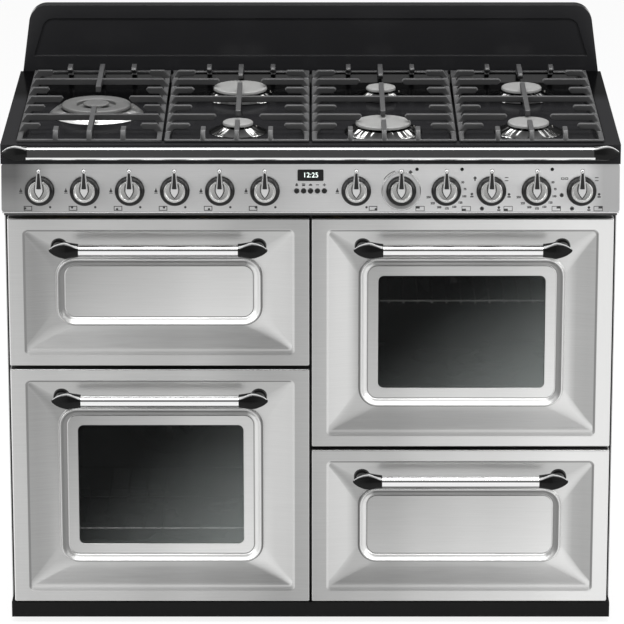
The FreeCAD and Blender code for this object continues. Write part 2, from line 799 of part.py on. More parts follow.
def liner(key):
    """An open box with ledges for the shelves."""
    side, foot, height = CAVITIES[key]
    made = body(key + "_liner_body", f"{side}*{COLUMN}", depth(FRAME_FRONT), f"{foot} + {height}/2", FRONT_TURN)
    pad(made, round_rect(sketch(made), "cavity_width + 2*liner_wall", f"{height} + 2*liner_wall",
                         "cavity_corner + liner_wall"), "cavity_depth + liner_wall", True)
    pocket(made, round_rect(sketch(made), "cavity_width", height, "cavity_corner"), "cavity_depth")
    if key == "grill":
        return made
    ribs = sketch(made)
    low = f"(-({height})/2 + ledge_pitch)"
    for x in mirrored("cavity_width/2"):
        inward = f"{x} - (ledge)" if x.startswith("(") else f"{x} + ledge"
        polygon(ribs, [(x, f"{low} - ledge"), (x, low), (inward, low)])
    ledges = pad(made, ribs, "cavity_depth", True)
    rows = made.newObject("PartDesign::LinearPattern", key + "_ledges")
    rows.Originals = [ledges]
    rows.Direction = (ribs, ["V_Axis"])
    bind(rows, "Length", "3*ledge_pitch")
    rows.Occurrences = 4
    made.Tip = rows
    wall = rod(key + "_shaft_hole", "fan_shaft + 1", "20", f"{side}*{COLUMN}", depth(f"{CAVITY_END} - 10"),
               f"{foot} + {height}/2", "y")
    return cut(key + "_drilled", made, wall)


def seals():
    made = []
    for key, (side, foot, height) in CAVITIES.items():
        outer = slab(key + "_seal_outer", "cavity_width + 2*seal_width + 6", f"{height} + 2*seal_width + 6",
                     "cavity_corner + seal_width", "frame_gap - fit")
        inner = slab(key + "_seal_inner", "cavity_width + 6", f"{height} + 6", "cavity_corner", "frame_gap")
        made.append(place(key + "_seal", [cut(key + "_seal_ring", outer, inner)], f"{side}*{COLUMN}",
                          depth(f"{FRAME_FRONT} - frame_gap + fit"), f"{foot} + {height}/2", FRONT_TURN))
    node("door_seals", *made)


def wire_rod(name, radius, length, x, y, z, along):
    """A thin rod with six sides."""
    part = doc.addObject("Part::Prism", name)
    part.Polygon = 6
    bind(part, "Circumradius", radius)
    bind(part, "Height", length)
    axis = Vector(0, 1, 0) if along == "x" else Vector(-1, 0, 0)
    return put(part, x, y, z, "90", axis)


def shelf(key, level):
    """A wire shelf: two side rods, three bars across and wires from front to back on top of them."""
    side, foot, height = CAVITIES[key]
    middle = f"({side}*{COLUMN})"
    z = f"({foot} + ledge_pitch*{level} + wire)"
    half = "(cavity_width/2 - wire - 1)"
    near = f"({FRAME_FRONT} + 20)"
    far = f"({CAVITY_END} - 60)"
    long = f"({far} - {near} + 4*wire)"
    rods = [wire_rod("shelf_side", "wire", long, f"{middle} + {x}", depth(f"{near} - 2*wire"), z, "y")
            for x in mirrored(half)]
    rods += [wire_rod("shelf_bar", "wire*0.9", f"2*{half}", f"{middle} - {half}", depth(y), z, "x")
             for y in (near, f"({near} + {far})/2", far)]
    for i in range(int(SIZES["shelf_wires"])):
        step = f"({i} - (shelf_wires - 1)/2)*2*{half}/(shelf_wires + 1)"
        rods.append(wire_rod("shelf_wire", "wire*0.8", long, f"{middle} + {step}", depth(f"{near} - 2*wire"),
                             f"{z} + wire*1.2", "y"))
    return fuse(key + "_shelf", *rods)


def ring_element(key):
    """A ring round the fan on two legs from the back wall."""
    side, foot, height = CAVITIES[key]
    x = f"{side}*{COLUMN}"
    z = f"({foot} + {height}/2)"
    section = [(f"ring_radius + element_radius*{u}", f"element_radius*{v}")
               for u, v in ((1, 0), (0.5, 0.87), (-0.5, 0.87), (-1, 0), (-0.5, -0.87), (0.5, -0.87))]
    ring = revolve(key + "_ring", section, x, depth(f"{FAN_FRONT} + fan_width/2"), z, "-90")
    leg = rod(key + "_leg", "element_radius*0.8", "fan_width/2 + fan_from_wall", x,
              depth(f"{FAN_FRONT} + fan_width/2"), f"{z} + ring_radius", "y")
    return fuse(key + "_element", ring, leg)


def grill_element():
    """A bent rod under the ceiling of the grill, with both ends in the back wall."""
    side, foot, height = CAVITIES["grill"]
    made = body("grill_rod", f"{side}*{COLUMN}", depth(CAVITY_END + " - liner_wall"),
                f"{foot} + {height} - grill_element_drop")
    path = sketch(made)
    half = "grill_loop_width/2"
    inner = "grill_loop_width/6"
    bends = [(f"-{inner}", "0"), (f"-{inner}", "-grill_loop_back"), (f"-{half}", "-grill_loop_back"),
             (f"-{half}", "-grill_loop_depth"),
             (half, "-grill_loop_depth"), (half, "-grill_loop_back"), (inner, "-grill_loop_back"), (inner, "0")]
    places = [Vector(value(x), value(y), 0) for x, y in bends]
    for a, b in zip(places, places[1:]):
        path.addGeometry(Part.LineSegment(a, b), False)
    for i, (x, y) in enumerate(bends[:-1]):
        pin_point(path, i, 1, x, y)
    pin_point(path, len(bends) - 2, 2, *bends[-1])
    for i in range(len(bends) - 2):
        path.addConstraint(Sketcher.Constraint("Coincident", i, 2, i + 1, 1))
    across = sketch(made, "XZ_Plane")
    across.addGeometry(Part.Circle(Vector(value(f"-{inner}"), 0, 0), Vector(0, 0, 1), 4), False)
    pin_point(across, 0, 3, f"-{inner}", "0")
    rule = Sketcher.Constraint("Radius", 0, value("element_radius"))
    bind(across, "Constraints[%d]" % across.addConstraint(rule), "element_radius")
    swept = made.newObject("PartDesign::AdditivePipe", "grill_rod_pipe")
    swept.Profile = across
    swept.Spine = (path, ["Edge%d" % (i + 1) for i in range(len(bends) - 1)])
    swept.Transition = "Right corner"
    return made


def fan(key):
    """A fan wheel with eight blades on its shaft, and the motor behind the wall."""
    side, foot, height = CAVITIES[key]
    x = f"{side}*{COLUMN}"
    z = f"{foot} + {height}/2"
    shaft = "(fan_width + fan_from_wall + liner_wall + 6)"
    hub = revolve(key + "_hub", [("0", "0"), ("fan_hub - 2", "0"), ("fan_hub", "2"), ("fan_radius", "fan_width - 2"),
                                 ("fan_radius", "fan_width"), ("fan_shaft", "fan_width"), ("fan_shaft", shaft),
                                 ("0", shaft)], x, depth(FAN_FRONT), z, "-90")
    blade = pad(hub, polygon(sketch(hub), [("fan_hub + 2", "-fan_blade/2"), ("fan_radius", "-fan_blade/2"),
                                           ("fan_radius", "fan_blade/2"), ("fan_hub + 2", "fan_blade/2")]),
                "fan_width")
    turns = hub.newObject("PartDesign::PolarPattern", key + "_blades")
    turns.Originals = [blade]
    turns.Axis = ([item for item in hub.Origin.OriginFeatures if item.Role == "Z_Axis"][0], [""])
    turns.Angle = 360
    turns.Occurrences = 8
    hub.Tip = turns
    node(key + "_fan", hub)
    bore = rod(key + "_motor_bore", "fan_shaft + 0.05", "12", x, depth(f"{CAVITY_END} - 1"), z, "y")
    can = rod(key + "_motor_can", "motor_radius", "motor_length", x, depth(CAVITY_END), z, "y")
    return cut(key + "_motor", can, bore)


def fan_cover(key):
    """A dished round cover with slots, on the back wall before the fan."""
    side, foot, height = CAVITIES[key]
    high = "(fan_width + fan_from_wall + 5)"
    profile = [("0", f"{high} - cover_skin"), ("0", high), ("cover_radius - cover_slope", high),
               ("cover_radius", f"{high} - cover_slope"), ("cover_radius", "0"), ("cover_radius - cover_skin", "0"),
               ("cover_radius - cover_skin", f"{high} - cover_slope - cover_skin/2"),
               ("cover_radius - cover_slope - cover_skin/2", f"{high} - cover_skin")]
    made = revolve(key + "_cover", profile, f"{side}*{COLUMN}", depth(f"{FRAME_FRONT} + cavity_depth"),
                   f"{foot} + {height}/2", "90")
    slot = pocket(made, polygon(sketch(made, offset=high), [
        ("slot_start", "-slot_narrow/2"), ("slot_end", "-slot_wide/2"), ("slot_end", "slot_wide/2"),
        ("slot_start", "slot_narrow/2")]), "4*cover_skin")
    turns = made.newObject("PartDesign::PolarPattern", key + "_slots")
    turns.Originals = [slot]
    turns.Axis = ([item for item in made.Origin.OriginFeatures if item.Role == "Z_Axis"][0], [""])
    turns.Angle = 360
    turns.Occurrences = 8
    made.Tip = turns
    return made


def cavities():
    node("grill_liner", liner("grill"))
    node("oven_liners", liner("left_oven"), liner("right_oven"))
    seals()
    node("oven_shelves", shelf("left_oven", 1), shelf("right_oven", 4))
    node("heating_elements", grill_element(), ring_element("left_oven"), ring_element("right_oven"))
    node("fan_motors", fan("left_oven"), fan("right_oven"))
    node("fan_covers", fan_cover("left_oven"), fan_cover("right_oven"))


# Storage drawer

def drawer():
    x = f"({COLUMN} - drawer_width/2)"
    start = "front_setback + front_depth"
    foot = f"({FRONT_FOOT} + drawer_lift)"
    base = box("drawer_base", "drawer_width", "drawer_depth", "drawer_wall", x, depth(start), foot)
    side_foot = f"{foot} + drawer_wall"
    sides = [box("drawer_side", "drawer_wall", "drawer_depth", "drawer_height - drawer_wall", a, depth(start), side_foot)
             for a in (x, f"{x} + drawer_width - drawer_wall")]
    ends = [box("drawer_end", "drawer_width - 2*drawer_wall", "drawer_wall", "drawer_height - drawer_wall",
                f"{x} + drawer_wall", depth(a), side_foot)
            for a in (start, f"{start} + drawer_depth - drawer_wall")]
    slides = [box("drawer_slide", "runner_width - 2", "drawer_depth", "runner_height/2", a, depth(start),
                  f"{foot} + runner_height + fit")
              for a in (f"{COLUMN} - drawer_width/2 - runner_width + 2", f"{COLUMN} + drawer_width/2")]
    back = box("drawer_back", "drawer_width", "door_liner", "drawer_front_height - 2*skin - 2*fit", x,
               depth(f"{start} - door_liner"), f"{FRONT_FOOT} + skin + fit")
    node("drawer_tray", base, *sides, *ends, back, *slides)
    runners = []
    for side in (-1, 1):
        near = f"({COLUMN} + {side}*(drawer_width/2 + 1))"
        far = f"({COLUMN} + {side}*(drawer_width/2 + runner_width + 2 + fit))"
        top = f"({foot} + runner_height)"
        wall = f"({COLUMN} + {side}*(drawer_width/2 + runner_width + fit))"
        profile = [(near, f"{top} - 3"), (near, top), (wall, top), (wall, f"{top} + runner_height"),
                   (far, f"{top} + runner_height"), (far, f"{top} - 3")]
        runners.append(prism("runner", profile, f"{REAR_FACE} - {FRAME_FRONT} - frame_depth", 0,
                             depth(f"{FRAME_FRONT} + frame_depth"), 0, FRONT_TURN, back=True))
    node("drawer_runners", *runners)


# Control panel with knobs, buttons, clock and lamps, built in the plane of the panel

def on_panel(name, parts, x="0"):
    return place(name, parts, x, depth(KNOB_DEPTH), KNOB_Z, PANEL_TURN)


def knob_places():
    left = [f"-({step}*knob_pitch + knob_split)" for step in (6, 5, 4, 3, 2, 1)]
    right = [f"({step}*knob_pitch + knob_split)" for step in (1, 2, 3, 4, 5, 6)]
    return left + right


KNOBS = ["gas_knob_%d" % i for i in range(1, 8)] + ["grill_knob", "left_oven_thermostat_knob",
                                                    "left_oven_function_knob", "right_oven_thermostat_knob",
                                                    "right_oven_function_knob"]
LAMP_KNOBS = (7, 8, 10)


def control_panel():
    low = "(knob_rise/cos(panel_tilt))"
    high = "((panel_height - knob_rise)/cos(panel_tilt))"
    middle = f"(({high} - {low})/2)"
    tray = slab("panel_block", "panel_width", f"{high} + {low}", "panel_corner", "panel_depth", 0, middle)
    inside = slab("panel_inside", "panel_width - 2*skin", f"{high} + {low} - 2*skin", "panel_corner - skin",
                  "panel_depth", 0, middle, "-skin")
    tools = [inside]
    tools += [rod("spindle_hole", "spindle_hole", "10", x, "0", "-5") for x in knob_places()]
    tools += [rod("button_hole", "button_radius + button_play", "10", x, "0", "-5") for x in button_places()]
    tools += [rod("lamp_hole", "lamp_radius", "10", x, "lamp_rise", "-5") for x in lamp_places()]
    tools.append(slab("display_hole", "display_width", "display_height", "2", "10", 0, "display_rise", "5"))
    node("control_panel", on_panel("control_panel_at", [cut("panel_cut", tray, *tools)]))


def button_places():
    return [f"({i})*button_pitch" for i in (-2, -1, 0, 1, 2)]


def lamp_places():
    return [f"{knob_places()[i]} + lamp_side" for i in LAMP_KNOBS]


def panel_parts():
    """Clock window and lamps, then the switches and the clock module behind the panel."""
    glass = slab("display_glass", "display_width", "display_height", "2", "skin + 1", 0, "display_rise", "0.6")
    lamps = [revolve("lamp", [("0", "-skin - 1"), ("lamp_radius", "-skin - 1"), ("lamp_radius", "0.4"),
                              ("lamp_radius*0.6", "1.5"), ("0", "1.9")], x, "lamp_rise", 0)
             for x in lamp_places()]
    node("panel_lenses", on_panel("panel_lenses_at", [glass] + lamps))
    front = "-skin - fit"
    made = []
    for x in knob_places()[7:]:
        case = box("switch_case", "switch_size", "switch_size", "switch_depth", f"{x} - switch_size/2",
                   "-switch_size/2", f"{front} - switch_depth")
        bore = rod("switch_bore", "spindle_radius + fit", "spindle_length + 5", x, "0", "-spindle_length - 0.3")
        made.append(cut("switch", case, bore))
    module = box("clock_module", "5*button_pitch + 10", "switch_size + 16", "switch_depth",
                 "-2.5*button_pitch - 5", "-switch_size/2 + 2", "-skin - 1.2 - switch_depth")
    wells = [rod("button_well", "button_radius + button_play", "button_stem + 2", x, "0",
                 "-button_stem - 2") for x in button_places()]
    made.append(cut("clock_module_cut", module, *wells))
    bezel_outer = rod("bezel_outer", "bezel_radius", "bezel_height", knob_places()[7], "0", "0")
    bezel_inner = rod("bezel_inner", "knob_skirt + 1.5", "bezel_height + 2", knob_places()[7], "0", "-1")
    made.append(cut("grill_bezel", bezel_outer, bezel_inner))
    node("control_switches", on_panel("control_switches_at", made))


def knob(label, x):
    """A skirted knob on its spindle with a lever across its face, drawn upright at its stop."""
    base = revolve(label + "_base", [("0", "-spindle_length"), ("spindle_radius", "-spindle_length"),
                                     ("spindle_radius", "knob_stand"), ("knob_skirt", "knob_stand"),
                                     ("knob_skirt", "knob_skirt_height - 2"),
                                     ("knob_disc + 1", "knob_skirt_height"), ("knob_disc", "knob_height - 1.5"),
                                     ("knob_disc - 1.5", "knob_height"), ("0", "knob_height")])
    lever = revolve(label + "_lever", [("0", "-lever_tail"), ("lever_width", "-lever_tail*0.2"),
                                       ("lever_rise", "4"), ("lever_tip*0.6", "lever_reach - 2.2*lever_tip"),
                                       ("lever_tip", "lever_reach - lever_tip"), ("lever_tip*0.6", "lever_reach"),
                                       ("0", "lever_reach")], 0, 0, "knob_height", "-90")
    node(label, on_panel(label + "_at", [fuse(label + "_solid", base, lever)], x))


def button(label, x):
    made = revolve(label + "_body", [("0", "-button_stem"), ("button_radius", "-button_stem"),
                                     ("button_radius", "button_stand - 1"), ("button_radius*0.7", "button_stand"),
                                     ("0", "button_stand")])
    node(label, on_panel(label + "_at", [made], x))


def gas_train():
    """The gas rail with a tap for each gas knob and a pipe to the inlet at the back."""
    reach = "(spindle_length + 0.3 + tap_length)"
    taps = [rod("tap", "tap_radius", "tap_length", x, "0", f"-{reach}") for x in knob_places()[:7]]
    train = on_panel("tap_row", taps)
    y = f"({KNOB_DEPTH} + {reach}*cos(panel_tilt))"
    z = f"({KNOB_Z} - {reach}*sin(panel_tilt))"
    over = "1.2*gas_pipe"
    rail = rod("gas_rail", "gas_pipe", f"inlet_side + {knob_places()[6]} + 30 + {over}", f"-inlet_side - {over}",
               depth(y), z, "x")
    back = rod("gas_back", "gas_pipe*0.98", f"{REAR_FACE} - 40 - {y} + {over}", "-inlet_side", depth(y), z, "y")
    down = rod("gas_down", "gas_pipe*0.96", f"{z} - inlet_height + 2*{over}", "-inlet_side",
               depth(f"{REAR_FACE} - 40"), f"inlet_height - {over}")
    elbow = rod("gas_elbow", "gas_pipe", "40", "-inlet_side", depth(f"{REAR_FACE} - 40"), "inlet_height", "y")
    inlet = rod("gas_inlet", "inlet_radius", "inlet_length", "-inlet_side",
                depth("total_depth - inlet_length"), "inlet_height", "y")
    feet = [box("rail_foot", "14", "6", f"{z} - {FRAME_TOP} - side_skin", x, depth(f"{y} - 3"),
                f"{FRAME_TOP} + side_skin") for x in ("-inlet_side + 30", "-200", "40")]
    node("gas_train", fuse("gas_train_fused", train, rail, back, down, elbow, inlet, *feet))


def controls():
    control_panel()
    panel_parts()
    for label, x in zip(KNOBS, knob_places()):
        knob(label, x)
    for i, x in enumerate(button_places(), 1):
        button("clock_button_%d" % i, x)
    gas_train()


# Hob: tray, rail, burners and pan supports

BURNERS = {
    "wok": (-1.5, 0, "wok_cap", "wok_base"),
    "rear_large": (-0.5, 1, "large_cap", "large_base"),
    "front_small": (-0.5, -1, "small_cap", "small_base"),
    "rear_small": (0.5, 1, "small_cap", "small_base"),
    "front_large": (0.5, -1, "large_cap", "large_base"),
    "rear_medium": (1.5, 1, "medium_cap", "medium_base"),
    "front_medium": (1.5, -1, "medium_cap", "medium_base"),
}


def burner_place(key):
    column, row, cap, base = BURNERS[key]
    return f"({column})*grate_pitch", depth(f"grate_middle + ({row})*burner_offset")


def hob_tray():
    """The enamelled tray: a rim, a recess and a turned-down edge with a flange below."""
    front = "worktop_setback"
    middle = depth("(worktop_setback + hob_end)/2")
    long = "(hob_end - worktop_setback)"
    block = box("hob_block", "overall_width", long, "worktop_edge", "-overall_width/2", depth(front), PANEL_TOP)
    inside = box("hob_inside", "overall_width - 2*hob_skin", f"{long} - 2*hob_skin",
                 "worktop_edge - 2*hob_skin", "-overall_width/2 + hob_skin", depth(front + " + hob_skin"),
                 f"{PANEL_TOP} + hob_skin")
    well = box("hob_well", "overall_width - 2*hob_flange", f"{long} - 2*hob_flange", "hob_skin*2",
               "-overall_width/2 + hob_flange", depth(front + " + hob_flange"), PANEL_TOP)

    def recess(name, grow):
        top = ("overall_width - 2*hob_rim + 2*(%s)" % grow, f"{long} - 2*hob_rim + 2*({grow})",
               f"hob_corner + ({grow})", 0, 0)
        floor = ("overall_width - 2*hob_rim - 2*hob_slope + 2*(%s)" % grow,
                 f"{long} - 2*hob_rim - 2*hob_slope + 2*({grow})", f"hob_corner - hob_slope/2 + ({grow})", 0,
                 f"-hob_recess - ({grow})")
        made = loft(name, [top, floor])
        return put(made, 0, middle, WORKTOP)
    shell = cut("hob_shell", cut("hob_dished", block, recess("hob_recess", "0")),
                cut("hob_under", inside, recess("hob_recess_back", "hob_skin")), well)
    holes = [rod("burner_hole", "burner_neck + fit", "hob_recess + 4", *burner_place(key), f"{HOB_FLOOR} - 6")
             for key in BURNERS]
    node("hob_tray", cut("hob_tray_cut", shell, *holes))


def worktop_rail():
    """The half-round chrome rail with a bud at each end, seated on the edge of the tray."""
    z = f"({WORKTOP} - rail_rise)"
    y = depth("rail_radius")
    behind = box("rail_behind", "overall_width", "60", "60", "-overall_width/2", depth("worktop_setback"),
                 f"{z} - 30")
    bar = rod("rail_bar", "rail_radius", "2*(rail_end - rail_cap)", "-(rail_end - rail_cap)", y, z, "x")
    made = [cut("rail_half", bar, behind)]
    for side, turn in ((1, "90"), (-1, "-90")):
        bud = revolve("rail_bud", [("0", "0"), ("rail_radius + 1", "0"), ("rail_radius + 2", "rail_cap*0.4"),
                                   ("rail_radius", "rail_cap*0.7"), ("3", "rail_cap"), ("0", "rail_cap")],
                      f"{side}*(rail_end - rail_cap)", y, z, turn, Vector(0, 1, 0))
        made.append(cut("rail_end", bud, behind))
    node("worktop_rail", *made)


def burners():
    bodies = []
    caps = []
    sparks = []
    cap_seat = "(spreader_height)"
    for key, (column, row, cap, base) in BURNERS.items():
        x, y = burner_place(key)
        bodies.append(revolve(key + "_body", [
            ("0", "-burner_cup"), ("burner_neck", "-burner_cup"), ("burner_neck", "0"), (base, "0"), (base, "2"),
            (f"{base} - 8", "4"), (f"{cap}*0.86", "8"), (f"{cap}*0.92", cap_seat), ("0", cap_seat)],
            x, y, HOB_FLOOR))
        seat = f"{HOB_FLOOR} + {cap_seat}"
        inner = "wok_hole" if key == "wok" else "0"
        caps.append(revolve(key + "_cap", [
            (inner, "0"), (cap, "0"), (cap, "cap_height - 2"), (f"{cap} - 3", "cap_height"),
            (inner, "cap_height")], x, y, seat))
        if key == "wok":
            caps.append(revolve("wok_core_cap", [
                ("0", "0"), ("wok_core", "0"), ("wok_core", "cap_height"), ("wok_core - 3", "cap_height + 2"),
                ("0", "cap_height + 2")], x, y, seat))
        sparks.append(rod(key + "_spark", "spark_radius", f"{cap_seat} - 3.6", f"{x} + {base} - 4", y,
                          f"{HOB_FLOOR} + 3.6"))
    node("burner_bodies", *bodies)
    node("burner_caps", *caps)
    node("ignition_electrodes", *sparks)


def finger(name, tip, row, top="grate_top"):
    """One pair of fingers: bars that rise from both sides of the frame and point inwards."""
    half = "(grate_width/2)"
    low = "(grate_frame - grate_drop)"
    under = f"({top} - finger_depth)"
    made = []
    for side in (-1, 1):
        profile = [(f"{side}*{half}", low), (f"{side}*{half}", "grate_frame"), (f"{side}*({half} - finger_rise)", top),
                   (f"{side}*({tip} + 3)", top), (f"{side}*({tip})", f"{top} - 4"),
                   (f"{side}*({tip} + finger_tip)", under), (f"{side}*({half} - finger_rise - finger_tip)", under),
                   (f"{side}*({half} - grate_bar)", low)]
        made.append(prism(name, profile, "grate_bar", 0, f"{row} + grate_bar/2", 0, FRONT_TURN))
    return made


def prongs(name, x, reach, top="grate_top"):
    """Bars that rise from the front and the back of the frame and point inwards."""
    half = "grate_front"
    low = "(grate_frame - grate_drop)"
    under = f"({top} - finger_depth)"
    made = []
    for side in (-1, 1):
        profile = [(f"{side}*{half}", low), (f"{side}*{half}", "grate_frame"), (f"{side}*({half} - finger_rise)", top),
                   (f"{side}*({half} - ({reach}) + 3)", top), (f"{side}*({half} - ({reach}))", f"{top} - 4"),
                   (f"{side}*({half} - ({reach}) + finger_tip)", under),
                   (f"{side}*({half} - finger_rise - finger_tip)", under),
                   (f"{side}*({half} - 2*finger_rise)", low)]
        drawn = prism(name, profile, "grate_bar")
        placed = place(name + "_at", [drawn], 0, 0, 0, "90")
        turned = place(name + "_turn", [placed], f"({x}) - grate_bar/2", 0, 0)
        turned.Placement = Placement(turned.Placement.Base, Rotation(Vector(0, 0, 1), 90))
        made.append(turned)
    return made


def bar(name, x0, y0, x1, y1):
    """A level bar of the top of a pan support between two corners of a plan."""
    return box(name, f"({x1}) - ({x0})", f"({y1}) - ({y0})", "finger_depth", x0, y0, "grate_top - finger_depth")


def pan_support(label, column, wok):
    half = "(grate_width/2)"
    long = "grate_front"
    low = "(grate_frame - grate_drop)"
    thick = "grate_bar"
    rails = [box("grate_rail", "grate_width", thick, "grate_drop", f"-{half}", y, low)
             for y in (f"-{long}", f"{long} - {thick}")]
    rails += [box("grate_side", thick, f"2*{long}", "grate_drop", x, f"-{long}", low)
              for x in (f"-{half}", f"{half} - {thick}")]
    bars = []
    rows = (-3, -2, -1, 0, 1, 2, 3)
    full = (-2, 2) if wok else (0,)
    long_rows = (0,) if wok else (-2, 2)
    for row in rows:
        if row in full:
            bars += finger("grate_full", "-3", f"({row})*finger_row")
        elif row in long_rows:
            bars += finger("grate_long", "wok_long_tip" if wok else "long_tip", f"({row})*finger_row")
        else:
            bars += finger("grate_short", "wok_short_tip" if wok else "short_tip", f"({row})*finger_row")
    bars += prongs("grate_prong", "-prong_side", "prong_reach")
    bars += prongs("grate_prong", "prong_side", "prong_reach")
    middle = "-grate_bar/2", "grate_bar/2"
    if wok:
        bars += prongs("grate_spine", "0", "grate_front - 2*finger_row + grate_bar/2")
        bars.append(bar("grate_tee", middle[0], "-2*finger_row", middle[1], "-wok_ring"))
        bars.append(bar("grate_tee", middle[0], "wok_ring", middle[1], "2*finger_row"))
    else:
        bars += prongs("grate_spine", "0", "spine_reach")
        bars.append(bar("grate_cross", middle[0], "-finger_row*1.6", middle[1], "finger_row*1.6"))
    made = fuse(label + "_solid", *rails, *bars)
    node(label, place(label + "_at", [made], f"({column})*grate_pitch", depth("grate_middle"), WORKTOP))


def hob():
    hob_tray()
    worktop_rail()
    burners()
    for i, column in enumerate((-1.5, -0.5, 0.5, 1.5), 1):
        pan_support("pan_support_%d" % i, column, i == 1)


def upstand(name, shrink, foot, start, thick):
    """A plate with leaning sides and round top corners, from a depth backwards."""
    made = body(name, 0, depth("hob_end"), PANEL_TOP, FRONT_TURN)
    half = f"(overall_width/2 - ({shrink}))"
    top = f"(worktop_edge + splash_rise - ({shrink}))"
    plate = pad(made, polygon(sketch(made, offset=f"-({start})"), [
        (f"-{half}", foot), (half, foot), (f"{half} - splash_top_inset", top),
        (f"-({half} - splash_top_inset)", top)]), thick, True)
    doc.recompute()
    corners = ["Edge%d" % i for i, edge in enumerate(plate.Shape.Edges, 1)
               if all(abs(point.Point.y - value(top)) < 0.01 for point in edge.Vertexes)
               and abs(edge.Vertexes[0].Point.z - edge.Vertexes[1].Point.z) > 0.01]
    rounded = made.newObject("PartDesign::Fillet", name + "_corners")
    rounded.Base = (plate, corners)
    bind(rounded, "Radius", f"splash_corner - ({shrink})/2")
    return made


def splashback():
    """A tapered upstand with round top corners, a pressed panel and an open back."""
    outer = upstand("splash_outer", "0", "0", "0", "splash_depth")
    hollow = upstand("splash_hollow", "hob_skin", "hob_skin", "splash_press + hob_skin", "splash_depth")
    press = upstand("splash_panel", "splash_margin", "worktop_edge + splash_margin_low", "0", "splash_press")
    node("splashback", cut("splash_cut", outer, hollow, press))


def build():
    fill_sheet()
    plinth_and_feet()
    outer_panels()
    chassis()
    cavities()
    drawer()
    fronts()
    controls()
    hob()
    splashback()
    doc.recompute()


def export():
    """Write each sub-part after testing it."""
    os.makedirs("parts", exist_ok=True)
    for item in doc.Objects:
        if "Invalid" in item.State or "Error" in item.State:
            raise RuntimeError("%s did not recompute: %s" % (item.Label, item.State))
    for item in nodes:
        shape = item.Shape
        if shape.isNull() or not shape.isValid() or not shape.Solids:
            raise RuntimeError("%s has no valid solid" % item.Label)
        shape.exportStep("parts/%s.step" % item.Label)
    print("%d sub-parts" % len(nodes))


build()
export()
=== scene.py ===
"""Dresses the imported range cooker: finishes, handles, knobs, burners, panel marks, lights and camera."""

import json
import math

import bmesh
import bpy
from bpy.props import FloatProperty, FloatVectorProperty, PointerProperty
from mathutils import Matrix, Vector


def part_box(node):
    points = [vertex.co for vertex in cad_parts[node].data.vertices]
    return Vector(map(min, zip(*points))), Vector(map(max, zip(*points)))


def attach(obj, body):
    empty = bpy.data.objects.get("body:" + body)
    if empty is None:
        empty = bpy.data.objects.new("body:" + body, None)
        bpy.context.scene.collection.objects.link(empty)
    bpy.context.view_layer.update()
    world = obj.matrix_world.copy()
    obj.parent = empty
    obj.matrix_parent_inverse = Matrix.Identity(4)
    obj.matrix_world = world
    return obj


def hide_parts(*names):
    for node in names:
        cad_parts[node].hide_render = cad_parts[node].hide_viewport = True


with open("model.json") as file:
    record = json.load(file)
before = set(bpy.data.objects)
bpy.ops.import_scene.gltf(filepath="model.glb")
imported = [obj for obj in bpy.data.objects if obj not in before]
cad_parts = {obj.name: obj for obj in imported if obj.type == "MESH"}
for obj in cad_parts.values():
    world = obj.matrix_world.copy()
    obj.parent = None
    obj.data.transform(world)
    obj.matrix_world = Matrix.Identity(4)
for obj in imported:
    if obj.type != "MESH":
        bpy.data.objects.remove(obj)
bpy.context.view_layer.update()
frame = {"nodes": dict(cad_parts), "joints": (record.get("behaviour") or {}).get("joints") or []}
JOINTS = {joint["name"]: joint for joint in frame["joints"]}

bl_info = {
    "name": "Range cooker dressing",
    "version": (1, 0, 0),
    "blender": (4, 5, 0),
    "location": "View3D > Sidebar > Cooker",
    "description": "Finishes and detail pieces for a 110 cm range cooker",
    "category": "Object",
}

MM = 0.001
FACE_LEAN = 15
TIPPED = (0.0, -math.cos(math.radians(FACE_LEAN)), math.sin(math.radians(FACE_LEAN)))
DOORS = ("grill_door", "left_oven_door", "right_oven_door", "drawer")
GAS_KNOBS = tuple("gas_knob_%d" % i for i in range(1, 8))
OVEN_KNOBS = ("grill_knob", "left_oven_thermostat_knob", "left_oven_function_knob",
              "right_oven_thermostat_knob", "right_oven_function_knob")
PAN_SUPPORTS = tuple("pan_support_%d" % i for i in range(1, 5))
BUTTONS = tuple("clock_button_%d" % i for i in range(1, 6))

# Distance of a front's middle from the cooker's middle
FRONT_MIDDLE = 0.2715
# Depths between which the border's tone turns into that of the sunk middle
DISH_DEPTH = (-0.2685, -0.2665)


# Sizes and colours that a user would change

def length(name, description, default):
    """A length in metres, from millimetres."""
    return FloatProperty(name=name, description=description, default=default * MM, unit="LENGTH", precision=5)


def colour(name, description, *default):
    return FloatVectorProperty(name=name, description=description, default=default, size=3, subtype="COLOR",
                               min=0.0, max=1.0)


def power(name, description, default):
    """The power of a lamp in watts."""
    return FloatProperty(name=name, description=description, default=default, unit="POWER")


